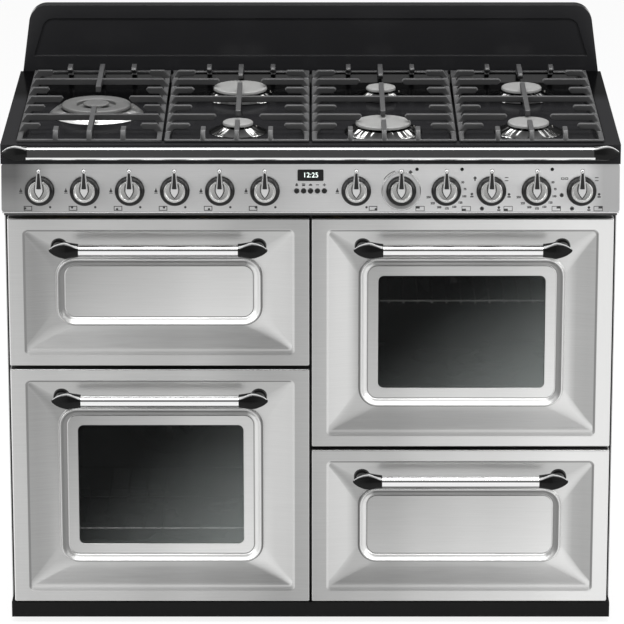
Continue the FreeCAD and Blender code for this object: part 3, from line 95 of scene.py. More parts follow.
class CookerSizes(bpy.types.PropertyGroup):
    """Sizes of the detail pieces"""
    bar_radius: length("Bar radius", "Radius of the handle bars", 10.5)
    bud_length: length("Bud length", "Length of the black ends of a handle", 50)
    bud_radius: length("Bud radius", "Largest radius of the black ends of a handle", 15.5)
    bud_face: length("Bud face", "Distance of a bud's flat face from the bar's axis", 11.6)
    base_radius: length("Handle base radius", "Radius of the round base under a handle end", 15)
    knob_skirt: length("Knob skirt", "Radius of a knob's dark skirt", 26.4)
    knob_disc: length("Knob disc", "Radius of a knob's silver face", 19.2)
    knob_height: length("Knob height", "Height of a knob's face above the panel", 23)
    lever_reach: length("Lever reach", "Distance of the lever's tip from the knob's axis", 42)
    lever_tail: length("Lever tail", "Distance of the lever's tail from the knob's axis", 11)
    border_side: length("Border, sides", "Flat border at the sides of a front", 28)
    border_top: length("Border, top", "Flat border at the top and foot of a front", 22)
    slope_side: length("Slope, sides", "Width of the sloping sides of a front", 56)
    slope_top: length("Slope, top", "Height of the upper slope of a front", 53)
    slope_foot: length("Slope, foot", "Height of the lower slope of a front", 50)
    slope_depth: length("Slope depth", "Depth of the pressed slopes", 14)
    bead_width: length("Bead width", "Width of the raised frame in a front", 17.6)
    bead_height: length("Bead height", "Height of the raised frame in a front", 6.6)
    bead_corner: length("Bead corner", "Outer corner radius of the raised frame", 35)
    window_margin: length("Window margin", "Flat frame between the raised frame and the window", 18)
    sheet: length("Sheet", "Thickness of the pressed sheet", 1.2)
    rail_radius: length("Rail radius", "Radius of the rail on the worktop's edge", 12)
    rail_cap: length("Rail bud", "Length of the black ends of the rail", 44)


class CookerFinishes(bpy.types.PropertyGroup):
    """Colours of the finishes"""
    # Ends of the steel's tone; the streaks and shading between them are painted reflection and shade.
    steel_dark: colour("Steel, dark", "Dark streaks of the brushed steel", 0.25, 0.25, 0.2475)
    steel_light: colour("Steel, light", "Light streaks of the brushed steel", 0.79, 0.79, 0.783)
    chrome: colour("Chrome", "Bars, rail and levers", 0.82, 0.82, 0.82)
    enamel: colour("Black enamel", "Hob tray and splashback", 0.004, 0.004, 0.0043)
    iron: colour("Cast iron", "Pan supports", 0.030, 0.030, 0.0305)
    cap: colour("Burner cap", "Burner caps", 0.24, 0.24, 0.236)
    plastic: colour("Black plastic", "Knob skirts, buds and buttons", 0.012, 0.012, 0.012)
    glass: colour("Window glass", "Tint of the oven windows", 0.0140, 0.0152, 0.0148)
    lining: colour("Oven lining", "Enamel inside the ovens", 0.060, 0.062, 0.064)
    sheet: colour("Plated sheet", "Door liners, drawer tray and rear panel", 0.42, 0.42, 0.41)


class CookerStage(bpy.types.PropertyGroup):
    """Camera and light"""
    camera_distance: length("Camera distance", "Distance of the camera in front of the origin", 7570.9)
    camera_height: length("Camera height", "Height of the camera", 2777.4)
    camera_side: length("Camera side", "Sideways place of the camera", 2.6)
    camera_pitch: FloatProperty(name="Camera pitch", description="Downward tilt of the camera",
                                default=math.radians(16.649), unit="ROTATION")
    lens: FloatProperty(name="Lens", description="Focal length on a 36 mm sensor", default=245.15,
                        unit="CAMERA")
    key_power: power("Key light", "Power of the overhead soft light", 60.0)
    top_power: power("Top light", "Power of the light over the hob", 50.0)
    fill_power: power("Side light", "Power of each side light", 26.0)
    oven_power: power("Oven light", "Power of the light in each oven", 0.3)
    room_light: FloatProperty(name="Room light", description="Strength of the even light", default=0.55,
                              subtype="FACTOR")


# Shader values and finishes

class Value:
    """A shader socket that takes part in Python expressions."""

    def __init__(self, finish, socket):
        self.finish = finish
        self.socket = socket

    def maths(self, operation, first, second):
        return self.finish.node("ShaderNodeMath", {"operation": operation}, {0: first, 1: second})

    def __add__(self, other):
        return self.maths("ADD", self, other)

    def __radd__(self, other):
        return self.maths("ADD", other, self)

    def __sub__(self, other):
        return self.maths("SUBTRACT", self, other)

    def __rsub__(self, other):
        return self.maths("SUBTRACT", other, self)

    def __mul__(self, other):
        return self.maths("MULTIPLY", self, other)

    def __rmul__(self, other):
        return self.maths("MULTIPLY", other, self)

    def __truediv__(self, other):
        return self.maths("DIVIDE", self, other)

    def __pow__(self, other):
        return self.maths("POWER", self, other)

    def __gt__(self, other):
        return self.maths("GREATER_THAN", self, other)

    def output(self, name):
        """Another output of the same node."""
        return Value(self.finish, self.socket.node.outputs[name])


class Finish:
    """A node tree with a method that adds nodes, and a surface shader for a material."""

    def __init__(self, owner):
        owner.use_nodes = True
        self.owner = owner
        self.tree = owner.node_tree
        self.tree.nodes.clear()

    def node(self, kind, settings=None, inputs=None, output=0):
        """A node of a kind, its settings set first, then the values or links of its sockets."""
        made = self.tree.nodes.new(kind)
        for name, setting in (settings or {}).items():
            setattr(made, name, setting)
        for name, given in (inputs or {}).items():
            self.feed(made.inputs[name], given)
        return Value(self, made.outputs[output]) if made.outputs else made

    def feed(self, socket, given):
        if isinstance(given, Value):
            self.tree.links.new(given.socket, socket)
        elif hasattr(given, "__len__") and len(given) == 3 and socket.type == "RGBA":
            socket.default_value = (*given, 1.0)
        else:
            socket.default_value = given

    def place(self):
        """Coordinates of the object, in metres."""
        return self.node("ShaderNodeTexCoord", output="Object")

    def stretched(self, x, y, z):
        """Object coordinates scaled by an amount on each axis."""
        return self.node("ShaderNodeVectorMath", {"operation": "MULTIPLY"}, {0: self.place(), 1: (x, y, z)})

    def axis(self, vector, name):
        """One part of a vector."""
        return self.node("ShaderNodeSeparateXYZ", None, {0: vector}, name)

    def spot(self, name):
        """One coordinate of the object, in metres."""
        return self.axis(self.place(), name)

    def share(self, name):
        """One coordinate as a share of the object's box, or in the room one part of a ray's direction."""
        return self.axis(self.node("ShaderNodeTexCoord", output="Generated"), name)

    def lean(self, name):
        """One part of the direction that the surface faces."""
        return self.axis(self.node("ShaderNodeNewGeometry", output="Normal"), name)

    def noise(self, scale, detail=2.0, roughness=0.5, vector=None):
        inputs = {"Vector": vector or self.place(), "Scale": scale, "Detail": detail, "Roughness": roughness}
        return self.node("ShaderNodeTexNoise", None, inputs)

    def mix(self, factor, first, second):
        """A colour between two colours."""
        return self.node("ShaderNodeMix", {"data_type": "RGBA"}, {0: factor, 6: first, 7: second}, output=2)

    def blend(self, first, second, factor):
        """A value between two values."""
        return first + (second - first) * factor

    def spread(self, given, low, high):
        """A value from low to high mapped to 0 to 1, held at the ends."""
        return self.node("ShaderNodeMapRange", None, {"Value": given, "From Min": low, "From Max": high})

    def edges(self, radius):
        """Normals that round the edges."""
        return self.node("ShaderNodeBevel", {"samples": 6}, {"Radius": radius})

    def bump(self, height, distance, strength, rounding=0.0):
        """Normals of a fine relief, with rounded edges if a radius is given."""
        inputs = {"Height": height, "Distance": distance, "Strength": strength}
        if rounding:
            inputs["Normal"] = self.edges(rounding)
        return self.node("ShaderNodeBump", None, inputs)

    def painted_front_light(self):
        """Painted shade and painted reflection on a pressed front: how light each face is made, by its place
        and lean.
        """
        lean = self.lean("X")
        tilt = self.lean("Z")
        across = self.spot("X")
        high = self.share("Z")
        side = (across > 0) * 2 - 1
        outward = side * across
        # Painted reflection: the border is lighter outward and to the right, the sunk middle lighter to the
        # right and darker upward.
        border = 0.29 + outward * 0.95 + across * 0.40
        inner = 0.82 + (across - side * FRONT_MIDDLE) * 1.3 - high * 0.5
        tone = self.blend(border, inner, self.spread(self.spot("Y"), *DISH_DEPTH))
        # Painted reflection: faces leaning up are lighter outward, and faces leaning down are held at a mid
        # tone.
        tone = self.blend(tone, 0.42 + outward * 1.25, self.spread(tilt, 0.08, 0.20))
        tone = self.blend(tone, 0.45, self.spread(tilt, -0.08, -0.20))
        # Painted reflection: a side slope is lighter where it faces away from the cooker's middle, darker
        # where it faces it.
        slope = 0.55 + (self.spread(across, -0.1, 0.1) * 2 - 1) * lean * 1.35
        tone = self.blend(tone, slope, self.spread(lean * lean, 0.012, 0.045))
        # Painted shade on faces that lean steeply down, and a painted dark reflection of the handle bar on
        # upward faces above.
        painted_underside_shade = self.spread(tilt, -0.32, -0.50) * 0.45
        painted_bar_reflection = self.spread(tilt, 0.22, 0.36) * self.spread(high, 0.45, 0.55) * 0.7
        return tone - painted_underside_shade - painted_bar_reflection

    def surface(self, **inputs):
        """The surface shader; words of a socket's name are joined by underscores."""
        sockets = {name.replace("_", " "): given for name, given in inputs.items()}
        shader = self.node("ShaderNodeBsdfPrincipled", None, sockets)
        self.node("ShaderNodeOutputMaterial", None, {"Surface": shader})
        return self.owner


def new_finish(name):
    return Finish(bpy.data.materials.new(name))


def times(tone, amount, most=1.0):
    """A colour made lighter or darker, held at a most."""
    return tuple(min(part * amount, most) for part in tone)


def brushed_steel(colours, name="brushed_steel", tone=1.0, rough=0.36, level=0.5, rise=0.0, pressed=False,
                  painted_end_shade=False):
    """Brushed sheet: fine lines and streaks of painted reflection; a pressed front gets painted shade by its
    faces.

    A plain sheet can get a painted light gradient, lighter to the right by its rise, and painted shade at its
    ends.
    """
    f = new_finish(name)
    # The broad noise gives the soft streaks, a painted reflection; the fine noise gives the brushed lines.
    broad = f.noise(1.6, 1.0, vector=f.stretched(3.6, 3.6, 0.35))
    fine = f.noise(1.0, 3.0, 0.6, f.stretched(14, 14, 1500))
    level = f.painted_front_light() if pressed else level + rise * f.spot("X")
    streak = f.spread(level + (broad - 0.5) * 0.5 + (fine - 0.5) * 0.22, 0.0, 1.0)
    steel = f.mix(streak, times(colours.steel_dark, tone), times(colours.steel_light, tone, 0.95))
    if painted_end_shade:
        # Painted shade: the sheet's ends darken, the left end more towards the top, where the rail's end
        # shades the panel.
        across = f.spot("X")
        left = f.spread(across, -0.46, -0.525) * (0.30 + 0.38 * f.spread(f.share("Z"), 0.20, 0.75))
        right = f.spread(across, 0.49, 0.52) * 0.33
        steel = f.mix(left + right, steel, (0.01, 0.01, 0.01))
    return f.surface(Base_Color=steel, Metallic=1.0, Roughness=rough + 0.10 * fine, Anisotropic=0.55,
                     Normal=f.bump(fine, 0.00012, 0.35, 0.0009))


def chrome(colours, name, rough=0.05, tone=1.0, under=1.0, over=1.0):
    """Bright plating; the underside and the upper side can be painted darker, a painted dark reflection."""
    f = new_finish(name)
    wear = f.noise(90.0, 3.0)
    tilt = f.lean("Z")
    # Painted dark reflection: faces leaning down are darkened by under, faces leaning up by over.
    shade = 1 - f.spread(tilt, -0.45, -0.75) * (1 - under) - f.spread(tilt, 0.45, 0.75) * (1 - over)
    return f.surface(Base_Color=f.mix(shade, (0.0, 0.0, 0.0), times(colours.chrome, tone)), Metallic=1.0,
                     Roughness=rough + 0.05 * wear, Normal=f.edges(0.0004))


def black_enamel(colours, name, gloss, tone, rear=1.0):
    """Gloss enamel with a faint ripple; the rear part can be painted darker, a painted reflection of the dark
    splashback.
    """
    f = new_finish(name)
    ripple = f.noise(60.0)
    fleck = f.noise(900.0, 1.0)
    front = times(colours.enamel, tone)
    # Painted reflection: the enamel is darker behind a line across the hob.
    enamel_painted_reflection = f.mix(f.spread(f.spot("Y"), 0.05, 0.11), front, times(front, rear))
    return f.surface(Base_Color=enamel_painted_reflection, Roughness=0.13 + 0.06 * fleck, Specular_IOR_Level=gloss,
                     Normal=f.bump(ripple, 0.0004, 0.18, 0.0016))


def cast_iron(colours):
    """Matt enamelled casting with a fine grain; its upper faces are painted paler, a painted sheen of light
    from above.
    """
    f = new_finish("cast_iron")
    grain = f.noise(700.0, 3.0, 0.6)
    patch = f.noise(22.0)
    # Painted sheen: faces leaning up are made paler, in soft patches.
    top = f.spread(f.lean("Z"), 0.15, 0.95) * (0.7 + 0.6 * patch)
    return f.surface(Base_Color=f.mix(top, colours.iron, times(colours.iron, 1.9)), Specular_IOR_Level=0.6,
                     Roughness=0.32 + 0.14 * grain, Normal=f.bump(grain, 0.0003, 0.4, 0.0016))


def burner_cap(colours, name="burner_cap", tone=1.0):
    """Satin enamelled cap with soft patches."""
    f = new_finish(name)
    grain = f.noise(500.0, 3.0, 0.65)
    light = times(colours.cap, tone)
    return f.surface(Base_Color=f.mix(f.noise(35.0), times(light, 0.8), light), Metallic=0.0,
                     Roughness=0.38 + 0.14 * grain, Normal=f.bump(grain, 0.0002, 0.3, 0.0012))


def burner_alloy(name="burner_alloy", plain=True, rough=0.10):
    """Polished alloy; a base can get a painted reflection: dark in front, bright streaks where it turns
    sideways.
    """
    f = new_finish(name)
    grain = f.noise(60.0, vector=f.stretched(1, 1, 30))
    tone = f.mix(grain, (0.60, 0.60, 0.59), (0.84, 0.84, 0.83))
    if not plain:
        # Painted reflection: dark where the base faces front, bright striped bands where it turns to the
        # sides.
        side = f.lean("X")
        fore = f.lean("Y")
        turn = side * side / (side * side + fore * fore + 0.001)
        streak = f.node("ShaderNodeMath", {"operation": "SINE"}, {0: turn * 44})
        bright = f.spread(turn, 0.26, 0.40) * (1 - f.spread(turn, 0.66, 0.82))
        bright = bright * (0.30 + 0.70 * f.spread(streak, -0.5, 0.4))
        tone = f.mix(bright, (0.006, 0.006, 0.006), tone)
    return f.surface(Base_Color=tone, Metallic=1.0, Roughness=rough + 0.12 * grain, Normal=f.edges(0.0008))


def black_plastic(colours, name="black_plastic", rough=0.22):
    f = new_finish(name)
    grain = f.noise(1200.0)
    return f.surface(Base_Color=colours.plastic, Roughness=rough + 0.10 * grain, Specular_IOR_Level=0.22,
                     Normal=f.bump(grain, 0.0001, 0.25, 0.0008))


def bud_black(colours, name):
    """Gloss black of the bar ends, with a painted highlight on the chamfer over each flat face."""
    f = new_finish(name)
    grain = f.noise(1200.0)
    # Painted highlight: a pale grey line where the chamfer leans up and to the front.
    line = f.spread(f.lean("Z"), 0.42, 0.50) * f.spread(f.lean("Y"), -0.62, -0.70)
    return f.surface(Base_Color=f.mix(line, times(colours.plastic, 0.5), (0.50, 0.50, 0.50)),
                     Roughness=0.10 + 0.10 * grain, Specular_IOR_Level=0.14, Normal=f.edges(0.0004))


def painted(name, tone, rough, grain_size=400.0, metal=0.0, gloss=0.5):
    """Plain paint, rubber, ceramic or plated sheet with a fine grain."""
    f = new_finish(name)
    grain = f.noise(grain_size, 3.0)
    return f.surface(Base_Color=f.mix(f.noise(8.0), tone, times(tone, 1.25)), Metallic=metal,
                     Roughness=rough + 0.12 * grain, Specular_IOR_Level=gloss,
                     Normal=f.bump(grain, 0.0002, 0.25, 0.0010))


def speckled_enamel(colours):
    """Grey oven enamel with pale flecks."""
    f = new_finish("grey_enamel")
    fleck = f.node("ShaderNodeTexVoronoi", {"feature": "F1"}, {"Vector": f.place(), "Scale": 260.0})
    dots = 1 - f.spread(fleck, 0.10, 0.22)
    return f.surface(Base_Color=f.mix(dots * 0.3, colours.lining, times(colours.lining, 2.4)),
                     Roughness=0.20 + 0.14 * f.noise(9.0), Coat_Weight=0.2)


def window_glass(colours, name, box):
    """Dark tinted pane with a painted reflection, paler to the lower right, that lets a little of the oven
    show.
    """
    f = new_finish(name)
    low, high = box
    across = (f.spot("X") - low.x) / (high.x - low.x)
    down = (high.z - f.spot("Z")) / (high.z - low.z)
    smear = f.noise(2.0, vector=f.stretched(3, 3, 2))
    # Painted reflection: the tint gets paler towards the lower right of the pane.
    pale = f.spread(across * 0.58 + down * 0.50 + smear * 0.06, 0.36, 1.08) ** 1.7
    inner = f.spread(f.spot("Y"), low.y + 5 * MM, low.y + 7 * MM)
    return f.surface(Base_Color=f.mix(pale, times(colours.glass, 0.4), times(colours.glass, 18.0)),
                     Roughness=0.03 + 0.02 * smear, Specular_IOR_Level=0.06, Alpha=0.52 - inner * 0.48)


def glow(name, tone, strength):
    """A lit surface."""
    f = new_finish(name)
    return f.surface(Base_Color=tone, Roughness=0.3, Emission_Strength=strength,
                     Emission_Color=f.mix(f.noise(300.0, 1.0), tone, times(tone, 0.8)))


def turned_silver():
    """Satin turned face of a knob, with rings about the knob's axis in its own frame."""
    f = new_finish("knob_face")
    ring = f.node("ShaderNodeTexWave", {"wave_type": "RINGS", "rings_direction": "Z"},
                  {"Vector": f.place(), "Scale": 420.0, "Distortion": 0.6, "Detail": 2.0})
    return f.surface(Base_Color=f.mix(f.noise(260.0), (0.52, 0.52, 0.51), (0.60, 0.60, 0.59)), Metallic=1.0,
                     Roughness=0.26 + 0.08 * ring, Anisotropic=0.4, Normal=f.bump(ring, 0.00003, 0.2))


def rack_wire(front):
    """Pale plating on the front bar of the rack; the wire behind it is painted dark, a painted shade of the
    unlit oven.
    """
    f = new_finish("rack_wire")
    # Painted shade: the wire turns dark a few millimetres behind the front bar.
    back = f.spread(f.spot("Y"), front + 3 * MM, front + 5 * MM)
    return f.surface(Base_Color=f.mix(back, (0.62, 0.62, 0.61), (0.004, 0.004, 0.004)),
                     Roughness=0.34 + 0.12 * f.noise(300.0), Specular_IOR_Level=0.05)


# Mesh helpers

def mm(points):
    """Points given in millimetres, in metres."""
    return [tuple(part * MM for part in point) for point in points]


def linked(name, data):
    """A new object in the scene."""
    made = bpy.data.objects.new(name, data)
    bpy.context.scene.collection.objects.link(made)
    return made


def modifier(thing, kind, **settings):
    """A modifier with its settings."""
    made = thing.modifiers.new(kind.lower(), kind)
    for name, setting in settings.items():
        setattr(made, name, setting)


def evaluated(thing, keep=False):
    """The mesh of an object with its modifiers applied."""
    graph = bpy.context.evaluated_depsgraph_get()
    return bpy.data.meshes.new_from_object(thing.evaluated_get(graph), preserve_all_data_layers=keep,
                                           depsgraph=graph)


def finished(tools, name, angle=32.0):
    """A mesh from a bmesh, smooth but for edges sharper than an angle."""
    bmesh.ops.remove_doubles(tools, verts=tools.verts, dist=1e-6)
    bmesh.ops.recalc_face_normals(tools, faces=tools.faces)
    mesh = bpy.data.meshes.new(name)
    tools.to_mesh(mesh)
    tools.free()
    mesh.shade_smooth()
    mesh.set_sharp_from_angle(angle=math.radians(angle))
    return mesh


def piece(name, form, body, material, replaces=(), at=None, angle=32.0):
    """A new object from a bmesh or a mesh, in its place, riding on a body."""
    mesh = finished(form, name, angle) if isinstance(form, bmesh.types.BMesh) else form
    made = linked(name, mesh)
    mesh.materials.append(material)
    if at is not None:
        made.matrix_world = at
    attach(made, body)
    if replaces:
        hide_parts(*replaces)
    return made


def walls(tools, loops):
    """Faces between closed loops of vertices that follow each other."""
    for first, second in zip(loops, loops[1:]):
        for i in range(len(first)):
            j = (i + 1) % len(first)
            tools.faces.new((first[i], first[j], second[j], second[i]))


def loft(rows, first=True, last=True):
    """A skin through closed rows of points, with or without a face over the first and the last row."""
    tools = bmesh.new()
    loops = [[tools.verts.new(point) for point in row] for row in rows]
    walls(tools, loops)
    if first:
        tools.faces.new(loops[0])
    if last:
        tools.faces.new(loops[-1])
    return tools


def turned(profile, segments):
    """A lathe form about Z from points of radius and height."""
    tools = bmesh.new()
    rings = []
    for radius, height in profile:
        turns = [math.tau * i / segments for i in range(segments if radius else 1)]
        rings.append([tools.verts.new((radius * math.cos(turn), radius * math.sin(turn), height))
                      for turn in turns])
    for first, second in zip(rings, rings[1:]):
        for i in range(segments):
            j = (i + 1) % segments
            corners = [first[i % len(first)], first[j % len(first)],
                       second[j % len(second)], second[i % len(second)]]
            unique = list(dict.fromkeys(corners))
            if len(unique) > 2:
                tools.faces.new(unique)
    for ring in (rings[0], rings[-1]):
        if len(ring) > 2:
            tools.faces.new(ring)
    return tools


def arc(centre, radius, start, end, steps=6):
    """Points on an arc, angles in degrees."""
    turns = [math.radians(start + (end - start) * i / steps) for i in range(steps + 1)]
    return [(centre[0] + radius * math.cos(t), centre[1] + radius * math.sin(t)) for t in turns]


def bud(profile, face, tip, steps=36):
    """A lathe form about Z with a flat face towards X and chamfers beside it.

    The distance of the face from the axis falls from face to tip.
    """
    chamfer = math.radians(26)
    blunt = math.cos(math.radians(22))
    along = Vector((-math.sin(chamfer), math.cos(chamfer)))
    long = profile[-1][1]
    rows = []
    for radius, height in profile:
        radius = max(radius, 0.4 * MM)
        share = min(max(height / long, 0.0), 1.0)
        front = min(face + (tip - face) * share, radius * blunt)
        half = math.sqrt(radius * radius - front * front)
        corner = Vector((front, half - min(1.4 * MM, 0.3 * half)))
        reach = corner.dot(along)
        outer = corner + along * (math.sqrt(reach * reach + radius * radius - corner.length_squared) - reach)
        start = math.degrees(math.atan2(outer.y, outer.x))
        ring = [(corner.x, -corner.y), (corner.x, corner.y)]
        ring += arc((0, 0), radius, start, 360 - start, steps)
        rows.append([(x, y, height) for x, y in ring])
    return loft(rows)


def rounded_outline(width, height, radius, steps=7):
    """Points of a round-cornered rectangle about its middle, anticlockwise from the right."""
    points = []
    for right, up, start in ((1, 1, 0), (-1, 1, 90), (-1, -1, 180), (1, -1, 270)):
        centre = (right * (width / 2 - radius), up * (height / 2 - radius))
        points += arc(centre, radius, start, start + 90, steps)
    return points


def smooth_curve(points, steps=5):
    """Points of a smooth curve through given points."""
    made = []
    ends = [points[0], *points, points[-1]]
    for a, b, c, d in zip(ends, ends[1:], ends[2:], ends[3:]):
        for i in range(steps):
            t = i / steps
            made.append(tuple(0.5 * (2 * q + (r - p) * t + (2 * p - 5 * q + 4 * r - s) * t * t
                                     + (3 * q - p - 3 * r + s) * t ** 3) for p, q, r, s in zip(a, b, c, d)))
    return made + [points[-1]]


def joined(parts):
    """One bmesh from several, each with its own matrix."""
    whole = bmesh.new()
    for tools, matrix in parts:
        bmesh.ops.transform(tools, matrix=matrix, verts=tools.verts)
        mesh = bpy.data.meshes.new("part")
        tools.to_mesh(mesh)
        tools.free()
        whole.from_mesh(mesh)
        bpy.data.meshes.remove(mesh)
    return whole


def facing(direction, up=(0, 0, 1)):
    """A turn that sets Z along a direction with X near the up direction."""
    z = Vector(direction).normalized()
    x = (Vector(up) - Vector(up).dot(z) * z).normalized()
    return Matrix((x, z.cross(x), z)).transposed().to_4x4()


def panel_frame(x, rise=0.0, stand=0.0):
    """The place on the control panel: X to the right, Y up the panel, Z out of it."""
    joint = JOINTS["gas_knob_1_turn"]
    out = Vector(joint["axis"])
    right = Vector((1, 0, 0))
    up = out.cross(right)
    middle = Vector(joint["pos_m"])
    spot = Vector((x, middle.y, middle.z)) + up * rise + out * stand
    return Matrix.Translation(spot) @ Matrix((right, up, out)).transposed().to_4x4()


def knob_place(knob):
    """How far to the right a knob's axis lies."""
    return JOINTS[knob + "_turn"]["pos_m"][0]


def dress(material, *nodes):
    """Give CAD nodes a finish."""
    for name in nodes:
        mesh = frame["nodes"][name].data
        mesh.materials.clear()
        mesh.materials.append(material)


# Operators, one for each group of pieces and one for the stage

class CookerOperator:
    """Shared parts of the operators."""
    bl_options = {"REGISTER"}

    def execute(self, context):
        self.build(context.scene.cooker_sizes, context.scene.cooker_finishes)
        return {"FINISHED"}


class COOKER_OT_stage(bpy.types.Operator):
    """Make the floor, the lights and the camera"""
    bl_idname = "cooker.stage"
    bl_label = "Stage"

    def execute(self, context):
        stage = context.scene.cooker_stage
        self.floor()
        self.room(stage)
        self.lamp("key_light", (0.0, -1.5, 3.2), (0, 0, 0.8), 3.4, 0.7, stage.key_power)
        self.lamp("top_light", (0.0, 0.7, 2.9), (0, 0.1, 0.9), 2.6, 1.2, stage.top_power)
        self.lamp("left_light", (-2.6, -1.6, 2.1), (0, 0, 0.6), 0.8, 1.6, stage.fill_power)
        self.lamp("right_light", (2.6, -1.6, 2.1), (0, 0, 0.6), 0.8, 1.6, stage.fill_power)
        for name in ("left_oven", "right_oven"):
            low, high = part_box(name + "_fan")
            middle = (low.x + high.x) / 2
            place = (middle, -0.16, high.z + 80 * MM)
            self.lamp(name + "_light", place, (middle, -0.2, 0), 0.34, 0.06, stage.oven_power)
        lens = bpy.data.cameras.new("camera")
        lens.sensor_width = 36.0
        lens.lens = stage.lens
        lens.clip_end = 60.0
        camera = linked("camera", lens)
        camera.location = (stage.camera_side, -stage.camera_distance, stage.camera_height)
        camera.rotation_euler = (math.pi / 2 - stage.camera_pitch, 0, 0)
        context.scene.camera = camera
        context.scene.view_settings.view_transform = "Standard"
        return {"FINISHED"}

    def floor(self):
        """A pale floor that looks nearly white and still takes soft shadows."""
        tools = bmesh.new()
        bmesh.ops.create_grid(tools, x_segments=1, y_segments=1, size=30.0)
        mesh = finished(tools, "floor")
        made = linked("floor", mesh)
        made.location.z = -0.0005
        f = new_finish("pale_floor")
        rays = f.node("ShaderNodeLightPath")
        seen = rays.output("Is Camera Ray") + rays.output("Is Glossy Ray")
        seen = f.spread(seen + rays.output("Is Transmission Ray"), 0.0, 1.0)
        tone = f.mix(f.noise(40.0), (0.80, 0.80, 0.80), (0.84, 0.84, 0.84))
        soft = f.node("ShaderNodeBsdfDiffuse", None, {"Color": tone})
        white = f.node("ShaderNodeEmission", None, {"Color": (1, 1, 1), "Strength": 1.06})
        mixed = f.node("ShaderNodeMixShader", None, {0: seen * 0.82, 1: soft, 2: white})
        f.node("ShaderNodeOutputMaterial", None, {"Surface": mixed})
        mesh.materials.append(f.owner)

    def room(self, stage):
        """Even light, white where the camera or a gloss sees it, with a dark band in front for chrome."""
        world = bpy.data.worlds.new("room")
        bpy.context.scene.world = world
        f = Finish(world)
        rays = f.node("ShaderNodeLightPath")
        shown = f.spread(rays.output("Is Camera Ray") + rays.output("Is Transmission Ray"), 0.0, 1.0)
        gloss = rays.output("Is Glossy Ray")
        way = f.share("Z")
        front = f.share("Y")
        across = f.share("X")
        band = f.spread(way, 0.04, 0.12) * (1 - f.spread(way, 0.50, 0.60))
        band = band * f.spread(front, 0.05, -0.25) * (1 - f.spread(across * across, 0.16, 0.32))
        seen = (1 - 0.93 * band) * (1 - 0.88 * f.spread(front, 0.60, 0.86))
        strength = shown + (1 - shown) * (gloss * seen + (1 - gloss) * stage.room_light)
        light = f.node("ShaderNodeBackground", None, {"Color": (1, 1, 1), "Strength": strength})
        f.node("ShaderNodeOutputWorld", None, {"Surface": light})

    def lamp(self, name, place, aim, width, height, watts):
        light = bpy.data.lights.new(name, "AREA")
        light.shape = "RECTANGLE"
        light.size = width
        light.size_y = height
        light.energy = watts
        made = linked(name, light)
        made.location = place
        made.rotation_euler = (Vector(aim) - Vector(place)).to_track_quat("-Z", "Y").to_euler()


class COOKER_OT_body(CookerOperator, bpy.types.Operator):
    """Finish the carcass, the cavities and the pan supports"""
    bl_idname = "cooker.body"
    bl_label = "Carcass and cavities"

    def build(self, sizes, colours):
        dress(brushed_steel(colours, "side_steel"), "side_panels")
        # The control panel gets a painted light gradient to the right and painted shade at its ends.
        dress(brushed_steel(colours, "panel_steel", 1.60, 0.30, 0.75, 0.55, painted_end_shade=True), "control_panel")
        # The hob tray is painted dark at its rear, a painted reflection.
        dress(black_enamel(colours, "black_enamel", 0.08, 3.6, 0.08), "hob_tray")
        dress(black_enamel(colours, "splash_enamel", 0.20, 3.4), "splashback")
        dress(painted("black_paint", (0.006, 0.006, 0.006), 0.35, gloss=0.1), "plinth")
        dress(speckled_enamel(colours), "grill_liner", "oven_liners", "fan_covers")
        dress(painted("plated_sheet", tuple(colours.sheet), 0.38, 300.0, 0.9), "grill_door_liner",
              "left_oven_door_liner", "right_oven_door_liner", "drawer_tray", "rear_panel", "drawer_runners")
        dress(painted("dark_frame", (0.018, 0.018, 0.019), 0.4), "chassis")
        dress(chrome(colours, "shelf_wire", 0.22, 0.30), "oven_shelves")
        dress(cast_iron(colours), *PAN_SUPPORTS)
        for name in PAN_SUPPORTS:
            self.soften(frame["nodes"][name])
        dress(burner_alloy(), "left_oven_fan", "right_oven_fan")
        dress(black_plastic(colours), "levelling_feet", "control_switches", *BUTTONS)
        for name in ("left_oven_door_glass", "right_oven_door_glass"):
            dress(window_glass(colours, name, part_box(name)), name)
        dress(black_plastic(colours, "lens_black", 0.08), "panel_lenses")
        dress(painted("seal_rubber", (0.025, 0.025, 0.026), 0.55, 900.0), "door_seals")
        metal = painted("element_metal", (0.10, 0.10, 0.10), 0.42, 500.0, 0.7)
        dress(metal, "heating_elements", "fan_motors")
        dress(painted("brass_pipe", (0.50, 0.36, 0.14), 0.30, 300.0, 1.0), "gas_train")

    def soften(self, node):
        """Round the edges of a casting."""
        modifier(node, "WELD", merge_threshold=0.02 * MM)
        modifier(node, "BEVEL", width=2.6 * MM, segments=3, limit_method="ANGLE",
                 angle_limit=math.radians(35), use_clamp_overlap=True)
        modifier(node, "WEIGHTED_NORMAL", keep_sharp=False)


